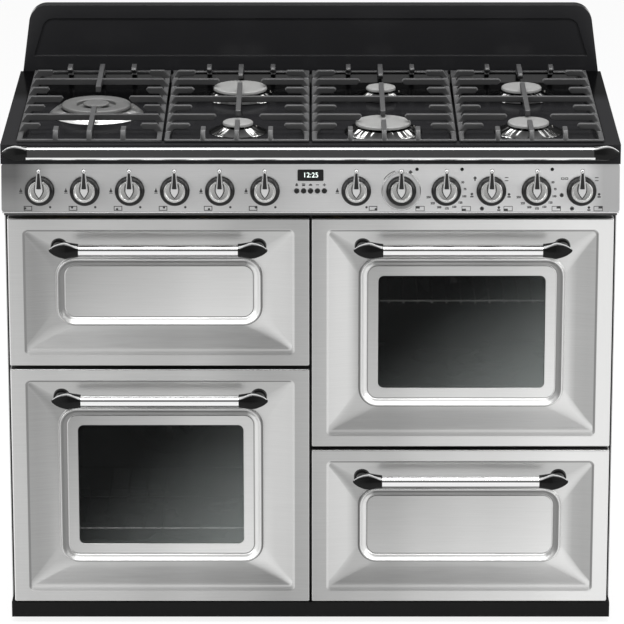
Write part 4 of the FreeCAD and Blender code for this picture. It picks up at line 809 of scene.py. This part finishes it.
class COOKER_OT_fronts(CookerOperator, bpy.types.Operator):
    """Make the four pressed fronts with slopes, raised frame and window edge"""
    bl_idname = "cooker.fronts"
    bl_label = "Fronts"

    def build(self, sizes, colours):
        # The pressed fronts get painted shade and painted reflection by their faces.
        steel = brushed_steel(colours, pressed=True)
        for door in DOORS:
            node = "drawer_front" if door == "drawer" else door + "_skin"
            low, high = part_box(node)
            tools = self.skin(low, high, "oven" in door, sizes)
            mesh = self.thickened(finished(tools, node, 40), sizes.sheet, self.notches(door, low, high))
            piece(door + "_pressing", mesh, door, steel, [node])

    def loops(self, low, high, window, sizes):
        """Insets at sides, top and foot, corner radius and depth of each loop, from the rear edge inwards."""
        edge = 2.6 * MM
        made = [(0, 0, 0, 3 * MM, high.y - low.y)]
        made += [(x, x, x, 3 * MM, y) for x, y in arc((edge, edge), edge, 180, 270, 5)]
        side, top, depth = sizes.border_side, sizes.border_top, sizes.slope_depth
        for step, fall in mm(((-2.6, 0.0), (-1.2, 0.10), (0.0, 0.55), (1.3, 1.65), (2.3, 2.35), (3.2, 2.6))):
            made.append((side + step, top + step, top + max(step, 3.4 * step), 8 * MM, fall))
        for i in range(1, 9):
            share = i / 8
            t = 0.07 + 0.93 * share
            fall = edge + (depth - edge) * (1 - (1 - share) ** 1.2)
            corner = 7 * MM + (sizes.bead_corner - 7 * MM) * t
            foot = top + 11 * MM + (sizes.slope_foot - 11 * MM) * share
            made.append((side + sizes.slope_side * t, top + sizes.slope_top * t, foot, corner, fall))
        side, top, foot, corner = made[-1][:4]
        unit = sizes.bead_width / 17.6
        section = smooth_curve([(0.8, 0.10), (1.8, 0.62), (3.0, 0.94), (4.4, 1.0), (5.9, 0.91), (7.8, 0.62),
                                (10.0, 0.33), (12.4, 0.12), (14.2, -0.02), (15.2, -0.15), (16.2, -0.13),
                                (17.6, 0.0)], 3)
        for out, up in section:
            step = out * unit
            made.append((side + step, top + step, foot + step, max(corner - step, 4 * MM),
                         depth - up * sizes.bead_height))
        if window:
            side, top, foot = made[-1][:3]
            for step, fall in mm(((-1.2, 0.0), (-0.4, 0.25), (0.0, 0.9), (0.0, 2.2))):
                reach = sizes.window_margin + step
                made.append((side + reach, top + reach, foot + reach, 10 * MM - step, depth + fall))
        return made

    def skin(self, low, high, window, sizes):
        """The front face of the sheet, open behind and at a window."""
        rows = []
        for side, top, foot, corner, deep in self.loops(low, high, window, sizes):
            middle = ((low.x + high.x) / 2, (low.z + foot + high.z - top) / 2)
            outline = rounded_outline(high.x - low.x - 2 * side, high.z - low.z - top - foot, corner)
            rows.append([(middle[0] + x, low.y + deep, middle[1] + z) for x, z in outline])
        return loft(rows, False, not window)

    def notches(self, door, low, high):
        """Boxes cut out of the rear edge of a hinged front for its two hinge arms."""
        if door == "drawer":
            return []
        joint = JOINTS[door + "_hinge"]["pos_m"]
        inset = 62 * MM
        half = 6 * MM
        fore = 2.25 * MM
        above = 6 * MM
        spare = 2 * MM
        boxes = []
        for x in (low.x + inset, high.x - inset):
            boxes.append((Vector((x - half, joint[1] - fore, low.z - spare)),
                          Vector((x + half, high.y + spare, joint[2] + above))))
        return boxes

    def thickened(self, mesh, thick, boxes):
        """The sheet given its thickness, with boxes cut out, and normals that keep large faces flat."""
        made = linked("sheet", mesh)
        modifier(made, "SOLIDIFY", thickness=thick, offset=-1.0)
        cutters = []
        for low, high in boxes:
            tools = bmesh.new()
            bmesh.ops.create_cube(tools, size=1.0)
            bmesh.ops.scale(tools, vec=high - low, verts=tools.verts)
            bmesh.ops.translate(tools, vec=(high + low) / 2, verts=tools.verts)
            cutters.append(linked("cutter", finished(tools, "cutter")))
            modifier(made, "BOOLEAN", operation="DIFFERENCE", solver="EXACT", object=cutters[-1])
        modifier(made, "WEIGHTED_NORMAL", keep_sharp=True)
        result = evaluated(made, True)
        for thing in [made, *cutters]:
            bpy.data.objects.remove(thing)
        result.materials.clear()
        return result


class COOKER_OT_handles(CookerOperator, bpy.types.Operator):
    """Make the four bar handles with their black ends"""
    bl_idname = "cooker.handles"
    bl_label = "Handles"

    def build(self, sizes, colours):
        # The bar's underside is painted darker, a painted dark reflection.
        bright = chrome(colours, "handle_chrome", under=0.22)
        black = bud_black(colours, "handle_black")
        overlap = 4 * MM
        for door in DOORS:
            node = door + "_handle"
            low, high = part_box(node)
            middle = (low + high) / 2
            middle.y = low.y + sizes.bud_radius
            half = (high.x - low.x) / 2 - sizes.bud_length
            bar = self.bar(half + overlap, sizes.bar_radius)
            at = Matrix.Translation(middle) @ facing((1, 0, 0), (0, -1, 0))
            bmesh.ops.transform(bar, matrix=at, verts=bar.verts)
            piece(door + "_bar", bar, door, bright, [node])
            ends = self.ends(middle, half, high.y - middle.y, sizes)
            piece(door + "_handle_ends", ends, door, black).visible_glossy = False

    def bar(self, reach, radius):
        """A round bar along Z with bevelled ends."""
        bevel = 0.8 * MM
        profile = [(0, -reach), (radius - bevel, -reach), (radius, -reach + bevel), (radius, reach - bevel),
                   (radius - bevel, reach), (0, reach)]
        return turned(profile, 64)

    def ends(self, middle, half, deep, sizes):
        """Leaf-shaped ends with a flat face, on round bases that reach back to the front."""
        neck = sizes.bar_radius
        r = sizes.bud_radius
        long = sizes.bud_length
        profile = [(neck + 0.9 * MM, -3 * MM)]
        profile += smooth_curve([(neck + 1.4 * MM, -2.4 * MM), (r * 0.88, long * 0.19), (r, long * 0.40)])
        profile += smooth_curve([(r, long * 0.41), (r * 0.86, long * 0.60), (r * 0.58, long * 0.81),
                                 (r * 0.20, long * 0.975)])
        profile.append((0, long))
        foot = [(0, 1), (0.7, 1), (1, 0.86), (1, 0.62), (0.93, 0.5), (0.7, 0.47), (0.62, 0), (0, 0)]
        foot = [(sizes.base_radius * wide, deep * share) for wide, share in foot]
        from_tip = 17 * MM
        parts = []
        for side in (-1, 1):
            at = Matrix.Translation(middle + Vector((side * half, 0, 0))) @ facing((side, 0, 0), TIPPED)
            parts.append((bud(profile, sizes.bud_face, 2 * MM), at))
            spot = middle + Vector((side * (half + long - from_tip), 0, 0))
            parts.append((turned(foot, 40), Matrix.Translation(spot) @ facing((0, 1, 0))))
        return joined(parts)


class COOKER_OT_rail(CookerOperator, bpy.types.Operator):
    """Make the chrome rail on the front of the worktop"""
    bl_idname = "cooker.rail"
    bl_label = "Worktop rail"

    def build(self, sizes, colours):
        low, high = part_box("worktop_rail")
        r = sizes.rail_radius
        axis = Vector((0, high.y, (low.z + high.z) / 2))
        half = (high.x - low.x) / 2 - sizes.rail_cap
        outline = self.section(r - 1.2 * MM, high.y - low.y - 2 * MM)
        rows = [[(x, axis.y - front, axis.z + up) for front, up in outline] for x in (-half, half)]
        piece("rail_bar", loft(rows), "cabinet", chrome(colours, "rail_chrome"), ["worktop_rail"])
        long = sizes.rail_cap
        profile = [(r + 0.6 * MM, -2 * MM)]
        profile += smooth_curve([(r + 1.0 * MM, -1.5 * MM), (r + 1.9 * MM, long * 0.3),
                                 (r + 1.6 * MM, long * 0.5), (r * 0.86, long * 0.74), (r * 0.40, long * 0.93),
                                 (r * 0.12, long * 0.995)])
        profile.append((0, long))
        parts = []
        for side in (-1, 1):
            at = Matrix.Translation(axis + Vector((side * half, -2 * MM, 0))) @ facing((side, 0, 0), TIPPED)
            parts.append((bud(profile, 11 * MM, 1.5 * MM), at))
        piece("rail_ends", joined(parts), "cabinet", bud_black(colours, "rail_black"))

    def section(self, high, deep):
        """Points of front and up: a leaning face between two rounded edges."""
        edge = 4.5 * MM
        reach = high - edge
        front = deep - edge
        back = front - 2 * reach * math.tan(math.radians(FACE_LEAN))
        lower = arc((front, -reach), edge, -90, FACE_LEAN, 10)
        upper = arc((back, reach), edge, FACE_LEAN, 90, 8)
        return [(0, -high), *lower, *upper, (0, high)]


class COOKER_OT_trim(CookerOperator, bpy.types.Operator):
    """Make the panel's bright lower edge, its return and the ring round the grill knob"""
    bl_idname = "cooker.trim"
    bl_label = "Panel trim"

    def build(self, sizes, colours):
        low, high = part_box("control_panel")
        half = (high.x - low.x) / 2 - 1.0 * MM
        foot = -37.6
        lip = self.strip(arc((-2.2, foot), 2.3, 75, -150, 12), half)
        piece("panel_lip", lip, "cabinet", brushed_steel(colours, "lip_steel", 1.25, 0.22))
        back = self.strip([(-5, foot - 1), (-5, foot - 6), (-12, foot - 6), (-12, foot - 1)], half - 3 * MM)
        # The return under the panel is dark grey, a painted shade where it turns under.
        dark = painted("panel_return_painted_shade", (0.055, 0.055, 0.056), 0.4)
        piece("panel_return_painted_shade", back, "cabinet", dark)
        ring = [(27, 0), (34.9, 0), (34.9, 1.8), (33.6, 2.9), (31.5, 3.0), (28, 2.6), (27, 2.6), (27, 0)]
        bezel = turned(mm(ring), 80)
        bmesh.ops.transform(bezel, matrix=panel_frame(knob_place("grill_knob")), verts=bezel.verts)
        # The ring's underside is painted darker, a painted dark reflection.
        piece("grill_bezel", bezel, "cabinet", chrome(colours, "bezel_steel", 0.26, 0.80, 0.45))

    def strip(self, section, half):
        """A section of out and up on the panel in millimetres, drawn from end to end."""
        rows = [[panel_frame(x) @ Vector((0, up, out)) for out, up in mm(section)] for x in (-half, half)]
        return loft(rows)


class COOKER_OT_knobs(CookerOperator, bpy.types.Operator):
    """Make the twelve knobs with skirt, face and lever"""
    bl_idname = "cooker.knobs"
    bl_label = "Knobs"

    def build(self, sizes, colours):
        black = black_plastic(colours, "knob_black", 0.25)
        silver = turned_silver()
        # The lever's upper side is painted darker, a painted dark reflection.
        bright = chrome(colours, "lever_chrome", 0.10, 0.66, 1.0, 0.40)
        soft = 50
        tip_rise = 7 * MM
        rise = math.atan2(tip_rise, sizes.lever_reach)
        lift = Matrix.Translation((0, 0, sizes.knob_height + 0.5 * MM)) @ Matrix.Rotation(rise, 4, "X")
        for knob in GAS_KNOBS + OVEN_KNOBS:
            at = panel_frame(knob_place(knob))
            lie = at @ lift
            body = knob + "_body"
            piece(knob + "_skirt", turned(self.skirt(sizes), 64), body, black, [knob], at)
            piece(knob + "_face", turned(self.disc(sizes), 64), body, silver, (), at)
            lever = piece(knob + "_lever", self.lever(sizes), body, bright, (), lie, soft)
            piece(knob + "_seat", self.dark_outline(sizes), body, black, (), at, soft)
            ridge_strip = piece(knob + "_inlay", self.ridge_strip(sizes), body, black, (), lie, soft)
            for made in (lever, ridge_strip):
                made.visible_glossy = False

    def skirt(self, sizes):
        r = sizes.knob_skirt / MM
        d = sizes.knob_disc / MM
        top = sizes.knob_height / MM
        return mm([(0, 1), (r - 1, 1), (r, 1.8), (r, 4.5), (r - 1.2, 6.2), (d + 2.6, 8.0), (d + 1.2, 11),
                   (d + 0.6, top - 3.4), (d - 0.8, top - 3.2), (0, top - 3.2)])

    def disc(self, sizes):
        d = sizes.knob_disc / MM
        top = sizes.knob_height / MM
        return mm([(0, top - 3.3), (d, top - 3.3), (d, top - 1.6), (d - 0.7, top - 0.5), (d - 1.8, top),
                   (d - 3.2, top - 0.1), (d - 4.0, top - 0.7), (d - 8.0, top - 0.9), (0, top - 0.9)])

    def outline(self, sizes):
        """Place, half width and height along the lever, from the tail to the ball at the tip."""
        tail = -sizes.lever_tail / MM
        reach = sizes.lever_reach / MM
        shape = smooth_curve([(tail, 0.05, 0.6), (tail * 0.86, 1.7, 1.5), (tail * 0.5, 4.6, 3.0),
                              (0, 7.0, 4.4), (5, 7.5, 5.2), (11, 6.7, 5.0), (19, 5.5, 4.4), (28, 4.4, 3.7),
                              (reach - 7.4, 3.4, 3.0)], 4)
        ball = 4.2
        for across, along in arc((0, reach - ball), ball, -52, 90, 12):
            size = max(across, 0.02)
            shape.append((along, size, size))
        return mm(shape)

    def lever(self, sizes, count=28):
        """A teardrop with oval sections along Y, its ridge towards Z."""
        turns = [math.tau * i / count for i in range(count)]
        return loft([[(wide * math.cos(turn), place, max(high * math.sin(turn), -1.2 * MM)) for turn in turns]
                     for place, wide, high in self.outline(sizes)])

    def dark_outline(self, sizes):
        """A thin dark plate that shows as an outline under the lever's wide end."""
        top = sizes.knob_height - 0.9 * MM
        right = [(wide + 1.3 * MM, place) for place, wide, high in self.outline(sizes) if place < 17 * MM]
        left = [(-wide, place) for wide, place in reversed(right)]
        rim = [(0, -sizes.lever_tail - 1.8 * MM), *right, *left]
        return loft([[(x, y, top + lift) for x, y in rim] for lift in (-0.6 * MM, 0.5 * MM)])

    def ridge_strip(self, sizes, count=8):
        """A dark strip along the ridge of the lever."""
        tools = bmesh.new()
        shape = [point for point in self.outline(sizes) if 6 * MM < point[0] < sizes.lever_reach - 7 * MM]
        turns = [math.radians(57 + 66 * i / count) for i in range(count + 1)]
        rims = []
        for grow in (0.25 * MM, -0.4 * MM):
            rows = []
            for place, wide, high in shape:
                rows.append([tools.verts.new(((wide + grow) * math.cos(turn), place,
                                              (high + grow) * math.sin(turn))) for turn in turns])
            for first, second in zip(rows, rows[1:]):
                for i in range(count):
                    tools.faces.new((first[i], first[i + 1], second[i + 1], second[i]))
            rims.append([row[0] for row in rows] + rows[-1][1:] + [row[-1] for row in rows[-2::-1]]
                        + rows[0][-2:0:-1])
        walls(tools, rims)
        return tools


class COOKER_OT_burners(CookerOperator, bpy.types.Operator):
    """Make the seven burners with ported spreaders, flared bases and caps"""
    bl_idname = "cooker.burners"
    bl_label = "Burners"

    def build(self, sizes, colours):
        cap_seat = 14 * MM
        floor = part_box("burner_caps")[0].z - cap_seat
        pin = mm([(0, 3), (2.2, 3), (2.2, 8), (0.9, 9), (0.9, 12), (0, 12.6)])
        bodies, caps, wok_bodies, wok_caps, pins = [], [], [], [], []
        for x, y, cap, base, wok in self.places():
            at = Matrix.Translation((x, y, floor))
            body = (self.ported(self.body(cap, base, wok), cap), at)
            if wok:
                wok_bodies.append(body)
                wok_caps += [(turned(self.cap(cap, 36), 72), at), (turned(self.core(), 56), at)]
            else:
                bodies.append(body)
                caps.append((turned(self.cap(cap, 0), 72), at))
            pins.append((turned(pin, 16), Matrix.Translation((x + (cap + 6) * MM, y, floor))))
        # The burner bases carry a painted reflection.
        rings = piece("burner_rings", joined(bodies), "cabinet", burner_alloy("burner_base", False),
                      ["burner_bodies"])
        wide = piece("wok_ring", joined(wok_bodies), "cabinet", burner_alloy("wok_base", rough=0.24))
        for made in (rings, wide):
            made.visible_glossy = False
        piece("burner_lids", joined(caps), "cabinet", burner_cap(colours), ["burner_caps"])
        piece("wok_lids", joined(wok_caps), "cabinet", burner_cap(colours, "wok_cap", 0.40))
        piece("spark_pins", joined(pins), "cabinet", painted("pin_ceramic", (0.30, 0.29, 0.27), 0.3),
              ["ignition_electrodes"])

    def places(self):
        """Place in metres, cap and base radius in millimetres, and whether it is the wok burner."""
        wok, large, middling, small = (64, 86, True), (50, 70, False), (37.5, 62, False), (27.5, 52, False)
        kinds = ([(0, wok)], [(1, large), (-1, small)], [(1, small), (-1, large)],
                 [(1, middling), (-1, middling)])
        made = []
        for support, burners in zip(PAN_SUPPORTS, kinds):
            low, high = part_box(support)
            middle = (low + high) / 2
            for row, kind in burners:
                made.append((middle.x, middle.y + row * (high.y - low.y) / 4, *kind))
        return made

    def body(self, cap, base, wok):
        """Flared base and spreader; the wok burner has a ring channel round its core."""
        profile = [(0, 0), (base - 1, 0), (base, 0.6), (base, 1.6), (base - 0.8, 2.2)]
        if wok:
            profile += [(85, 2.6), (76, 10.2), (66, 12.2), (64, 12.2), (62, 10.4), (57, 10.4), (57, 13.0),
                        (60, 13.4), (60, 14.0), (36, 14.0), (35.4, 13), (35, 3), (13, 3), (12, 18.4),
                        (0, 18.4)]
        else:
            rim = cap + 3.5
            profile += [(base - 1.4, 2.4), (rim + 0.8, 10.6), (rim, 11.2), (cap * 0.97, 12.2),
                        (cap * 0.92, 12.8), (cap * 0.92, 14.0), (0, 14.0)]
        return mm(profile)

    def ported(self, profile, cap):
        """The body turned, with flame ports cut in the spreader's rim."""
        ports = int(cap * 0.5) * 4
        tools = turned(profile, ports)
        for vertex in tools.verts:
            radius = math.hypot(vertex.co.x, vertex.co.y)
            if 7.9 * MM < vertex.co.z < 12.9 * MM and radius > 0.90 * cap * MM:
                step = round(math.atan2(vertex.co.y, vertex.co.x) / math.tau * ports)
                if step % 4 in (0, 1):
                    vertex.co.x *= 0.955
                    vertex.co.y *= 0.955
        return tools

    def cap(self, radius, hole):
        profile = [(radius - 1.2, 14.05), (radius, 14.8), (radius, 17.4), (radius - 0.6, 18.9),
                   (radius - 1.9, 19.8), (radius - 4.0, 20.0)]
        if hole:
            return mm([(hole, 14.05), *profile, (hole + 2.4, 20.0), (hole + 0.8, 19.4), (hole, 18.4),
                       (hole, 14.05)])
        return mm([(0, 14.05), *profile, (0, 20.3)])

    def core(self):
        return mm([(0, 18.45), (23, 18.45), (24, 19.0), (24, 20.4), (23.3, 21.3), (21.6, 21.8), (19, 22.0),
                   (0, 22.0)])


class COOKER_OT_rack(CookerOperator, bpy.types.Operator):
    """Make the stepped wire rack that shows in the right oven's window"""
    bl_idname = "cooker.rack"
    bl_label = "Oven rack"

    def build(self, sizes, colours):
        shelf_low, shelf_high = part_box("oven_shelves")
        wire = 2.3 * MM
        half = 211.7 * MM
        drop = 62 * MM
        step = 14 * MM
        pitch = 26 * MM
        middle = shelf_high.x - wire - half
        near = shelf_low.y + 2 * wire
        far = shelf_high.y - 2 * wire
        ledge = shelf_high.z - 2 * wire - drop
        deck = ledge + step
        under = deck - 1.4 * wire
        rods = []
        for x in (middle - half, middle + half):
            rods.append(self.rod((x, near, ledge), (x, far, ledge), wire))
            for y in (near, far):
                rods.append(self.rod((x, y, ledge), (x, y, deck), wire))
        for y, thick in ((near, 0.6 * wire), ((near + far) / 2, wire), (far, wire)):
            rods.append(self.rod((middle - half, y, deck), (middle + half, y, deck), thick))
        for i in range(-7, 8):
            x = middle + i * pitch
            rods.append(self.rod((x, near - wire, under), (x, far, under), 0.9 * wire))
        piece("right_oven_rack", joined(rods), "cabinet", rack_wire(near))

    def rod(self, start, end, radius):
        """A round wire with domed ends, and the place where it lies."""
        way = Vector(end) - Vector(start)
        long = way.length
        tip = 0.6 * radius
        profile = [(0, -tip), (radius * 0.7, -tip * 0.7), (radius, 0), (radius, long),
                   (radius * 0.7, long + tip * 0.7), (0, long + tip)]
        up = (1, 0, 0) if abs(way.z) > 0.5 * long else (0, 0, 1)
        return turned(profile, 12), Matrix.Translation(Vector(start)) @ facing(way, up)


class COOKER_OT_marks(CookerOperator, bpy.types.Operator):
    """Print the panel's marks and light the clock"""
    bl_idname = "cooker.marks"
    bl_label = "Panel marks"

    # A mark lies at x, in metres, and at distances to the right and up from there in millimetres

    def build(self, sizes, colours):
        ink = painted("panel_ink", (0.03, 0.03, 0.03), 0.5)
        shapes = []
        for number, knob in enumerate(GAS_KNOBS):
            shapes += self.gas_marks(knob_place(knob), number)
        for knob in OVEN_KNOBS:
            x = knob_place(knob)
            right = "right" in knob
            if "thermostat" in knob:
                shapes += self.heat_marks(x)
                shapes += self.sign(x, 35.5, right, right)
            elif "function" in knob:
                shapes += self.function_marks(x, right)
                shapes += self.sign(x, 30, right, right)
            else:
                shapes += self.grill_marks(x)
                shapes += self.sign(x, 33.5, False, True)
        shapes += self.button_marks()
        piece("panel_marks", joined(shapes), "cabinet", ink)
        piece("clock_digits", joined([self.written("12:25", 0, 0.4, 28, 12.5, stand=0.75)]), "cabinet",
              glow("clock_glow", (0.75, 0.85, 0.80), 0.9))

    def flat(self, outline, x, across, rise):
        """A thin printed shape from an outline in millimetres."""
        foot = 0.02 * MM
        thick = 0.13 * MM
        tools = bmesh.new()
        face = tools.faces.new([tools.verts.new((px, py, foot)) for px, py in mm(outline)])
        grown = bmesh.ops.extrude_face_region(tools, geom=[face])
        moved = [item for item in grown["geom"] if isinstance(item, bmesh.types.BMVert)]
        bmesh.ops.translate(tools, vec=(0, 0, thick), verts=moved)
        return tools, panel_frame(x + across * MM, rise * MM)

    def dot(self, x, across, rise, radius):
        return self.flat(arc((0, 0), radius, 0, 348, 29), x, across, rise)

    def bar(self, x, across, rise, width, height, lean=0.0):
        w, h = width / 2, height / 2
        c, s = math.cos(math.radians(lean)), math.sin(math.radians(lean))
        points = [(px * c - py * s, px * s + py * c) for px, py in ((-w, -h), (w, -h), (w, h), (-w, h))]
        return self.flat(points, x, across, rise)

    def box(self, x, across, rise, width, height, line):
        """The four sides of a framed sign."""
        made = []
        for side in (-0.5, 0.5):
            made.append(self.bar(x, across + side * (width - line), rise, line, height))
            made.append(self.bar(x, across, rise + side * (height - line), width, line))
        return made

    def written(self, words, x, across, rise, height, stand=0.0, bold=0.0):
        """Words as a thin mesh about a place."""
        thin = 0.06 * MM
        curve = bpy.data.curves.new("words", "FONT")
        curve.body = words
        curve.size = height * MM
        curve.align_x = "CENTER"
        curve.align_y = "CENTER"
        curve.extrude = thin
        curve.offset = bold * MM
        made = linked("words", curve)
        mesh = evaluated(made)
        tools = bmesh.new()
        tools.from_mesh(mesh)
        bpy.data.objects.remove(made)
        bpy.data.curves.remove(curve)
        bpy.data.meshes.remove(mesh)
        return tools, panel_frame(x + across * MM, rise * MM, stand * MM + thin)

    def gas_marks(self, x, number):
        """A flame at nine o'clock, a dot for off and a sign that shows the burner's place."""
        flame = smooth_curve([(0, 5.0), (1.1, 1.4), (2.7, -1.8), (1.8, -3.6), (-1.8, -3.6), (-2.7, -1.8),
                              (-1.1, 1.4), (0, 5.0)], 3)[:-1]
        sign = -21 if number < 6 else 30
        spots = ((-0.75, 0), (-0.25, 0.5), (-0.25, -0.5), (0.25, 0.5), (0.25, -0.5), (0.75, 0.5),
                 (0.75, -0.5))
        across, up = spots[number]
        left = -33.5
        rise = -31
        made = [self.flat(flame, x, left, 1.0), self.bar(x, left, -4.2, 6.4, 1.0),
                self.dot(x, 18.5, -29, 2.1)]
        made += self.box(x, sign, rise, 15, 8.4, 1.3)
        made.append(self.dot(x, sign + across * 6.6, rise + up * 3.2, 2.1))
        return made

    def sign(self, x, across, right, upper):
        """A framed sign of the cooker's front with one cavity filled in."""
        side = 4.0 if right else -4.0
        row = 2.1 if upper else -2.1
        rise = -31.5
        return self.box(x, across, rise, 16, 9, 1.0) + [self.bar(x, across + side, rise + row, 7.0, 4.0)]

    def heat_marks(self, x):
        """Temperatures round the knob, clockwise from two o'clock to eight o'clock."""
        made = []
        for i in range(9):
            turn = math.radians(29 - 23.5 * i)
            words = str(50 + 25 * i)
            made.append(self.written(words, x, 33.5 * math.cos(turn), 31.5 * math.sin(turn), 5.0, bold=0.30))
        return made

    def function_marks(self, x, right):
        """Signs for the oven's functions: bars, elements, fans and lamp."""
        made = [self.bar(x, 27, 21 + step, 6.4, 1.4) for step in (-2.7, 2.7)]
        pairs = [(31.5, -8), (13.5, -31.5)]
        fans = [(-16.5, -31.5)]
        if right:
            fans.append((-35, -7.5))
            for step in (-3.4, 3.4):
                made += self.box(x, -30 + step, 22, 6.0, 3.8, 1.1)
        else:
            pairs.append((-34.5, -7.5))
            made += [self.dot(x, -29, 23, 2.7), self.bar(x, -29, 19.2, 2.4, 2.6)]
        for across, rise in pairs:
            made += [self.dot(x, across, rise + 1.9, 2.3), self.bar(x, across, rise - 2.6, 5.6, 2.6)]
        for across, rise in fans:
            made += [self.bar(x, across, rise, 7.6, 1.9, lean) for lean in (0, 45, 90, 135)]
        return made

    def grill_marks(self, x):
        """A part turn at eleven o'clock and a grill sign at one o'clock."""
        made = []
        for i in range(7):
            lean = 110 + 5.5 * i
            turn = math.radians(lean)
            made.append(self.bar(x, 37 * math.cos(turn), 37 * math.sin(turn), 3.8, 1.3, lean + 90))
        made.append(self.bar(x, 16.5, 33.5, 5.4, 5.4, 45))
        return made

    def button_marks(self):
        """Signs above the buttons: bell, pot, dish, minus and plus."""
        boxes = [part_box(name) for name in BUTTONS]
        bell_x, pot_x, dish_x, minus_x, plus_x = [(low.x + high.x) / 2 for low, high in boxes]
        rise = 10.8
        bell = [(-3.0, -1.8), (3.0, -1.8), (2.1, -0.5), (1.8, 1.7), (0.7, 3.0), (-0.7, 3.0), (-1.8, 1.7),
                (-2.1, -0.5)]
        pot = [(-3.0, 1.2), (-2.6, -2.2), (2.6, -2.2), (3.0, 1.2)]
        dome = [(-3.4, -1.6), (3.4, -1.6), *arc((0, -0.8), 2.9, 10, 170, 8)]
        return [self.flat(bell, bell_x, 0, rise), self.dot(bell_x, 0, rise - 2.0, 0.6),
                self.flat(pot, pot_x, 0, rise), self.bar(pot_x, 0, rise + 2.3, 6.6, 0.8),
                self.flat(dome, dish_x, 0, rise), self.bar(minus_x, 0, rise, 5.4, 1.4),
                self.bar(plus_x, 0, rise, 5.4, 1.4), self.bar(plus_x, 0, rise, 1.4, 5.4)]


CLASSES = (CookerSizes, CookerFinishes, CookerStage, COOKER_OT_stage, COOKER_OT_body, COOKER_OT_fronts,
           COOKER_OT_handles, COOKER_OT_rail, COOKER_OT_trim, COOKER_OT_knobs, COOKER_OT_burners,
           COOKER_OT_rack, COOKER_OT_marks)
BUILD_ORDER = ("body", "fronts", "handles", "rail", "trim", "knobs", "burners", "rack", "marks", "stage")


class COOKER_PT_panel(bpy.types.Panel):
    """Lists the operators and the values that they use"""
    bl_idname = "COOKER_PT_panel"
    bl_label = "Range cooker"
    bl_space_type = "VIEW_3D"
    bl_region_type = "UI"
    bl_category = "Cooker"

    def draw(self, context):
        for name in BUILD_ORDER:
            self.layout.operator("cooker." + name)
        for group in (context.scene.cooker_sizes, context.scene.cooker_finishes, context.scene.cooker_stage):
            column = self.layout.column()
            for key in group.__annotations__:
                column.prop(group, key)


def register():
    for made in CLASSES:
        bpy.utils.register_class(made)
    bpy.utils.register_class(COOKER_PT_panel)
    bpy.types.Scene.cooker_sizes = PointerProperty(type=CookerSizes)
    bpy.types.Scene.cooker_finishes = PointerProperty(type=CookerFinishes)
    bpy.types.Scene.cooker_stage = PointerProperty(type=CookerStage)


def unregister():
    del bpy.types.Scene.cooker_sizes
    del bpy.types.Scene.cooker_finishes
    del bpy.types.Scene.cooker_stage
    bpy.utils.unregister_class(COOKER_PT_panel)
    for made in reversed(CLASSES):
        bpy.utils.unregister_class(made)


def main():
    register()
    for name in BUILD_ORDER:
        getattr(bpy.ops.cooker, name)()


if __name__ == "__main__":
    main()
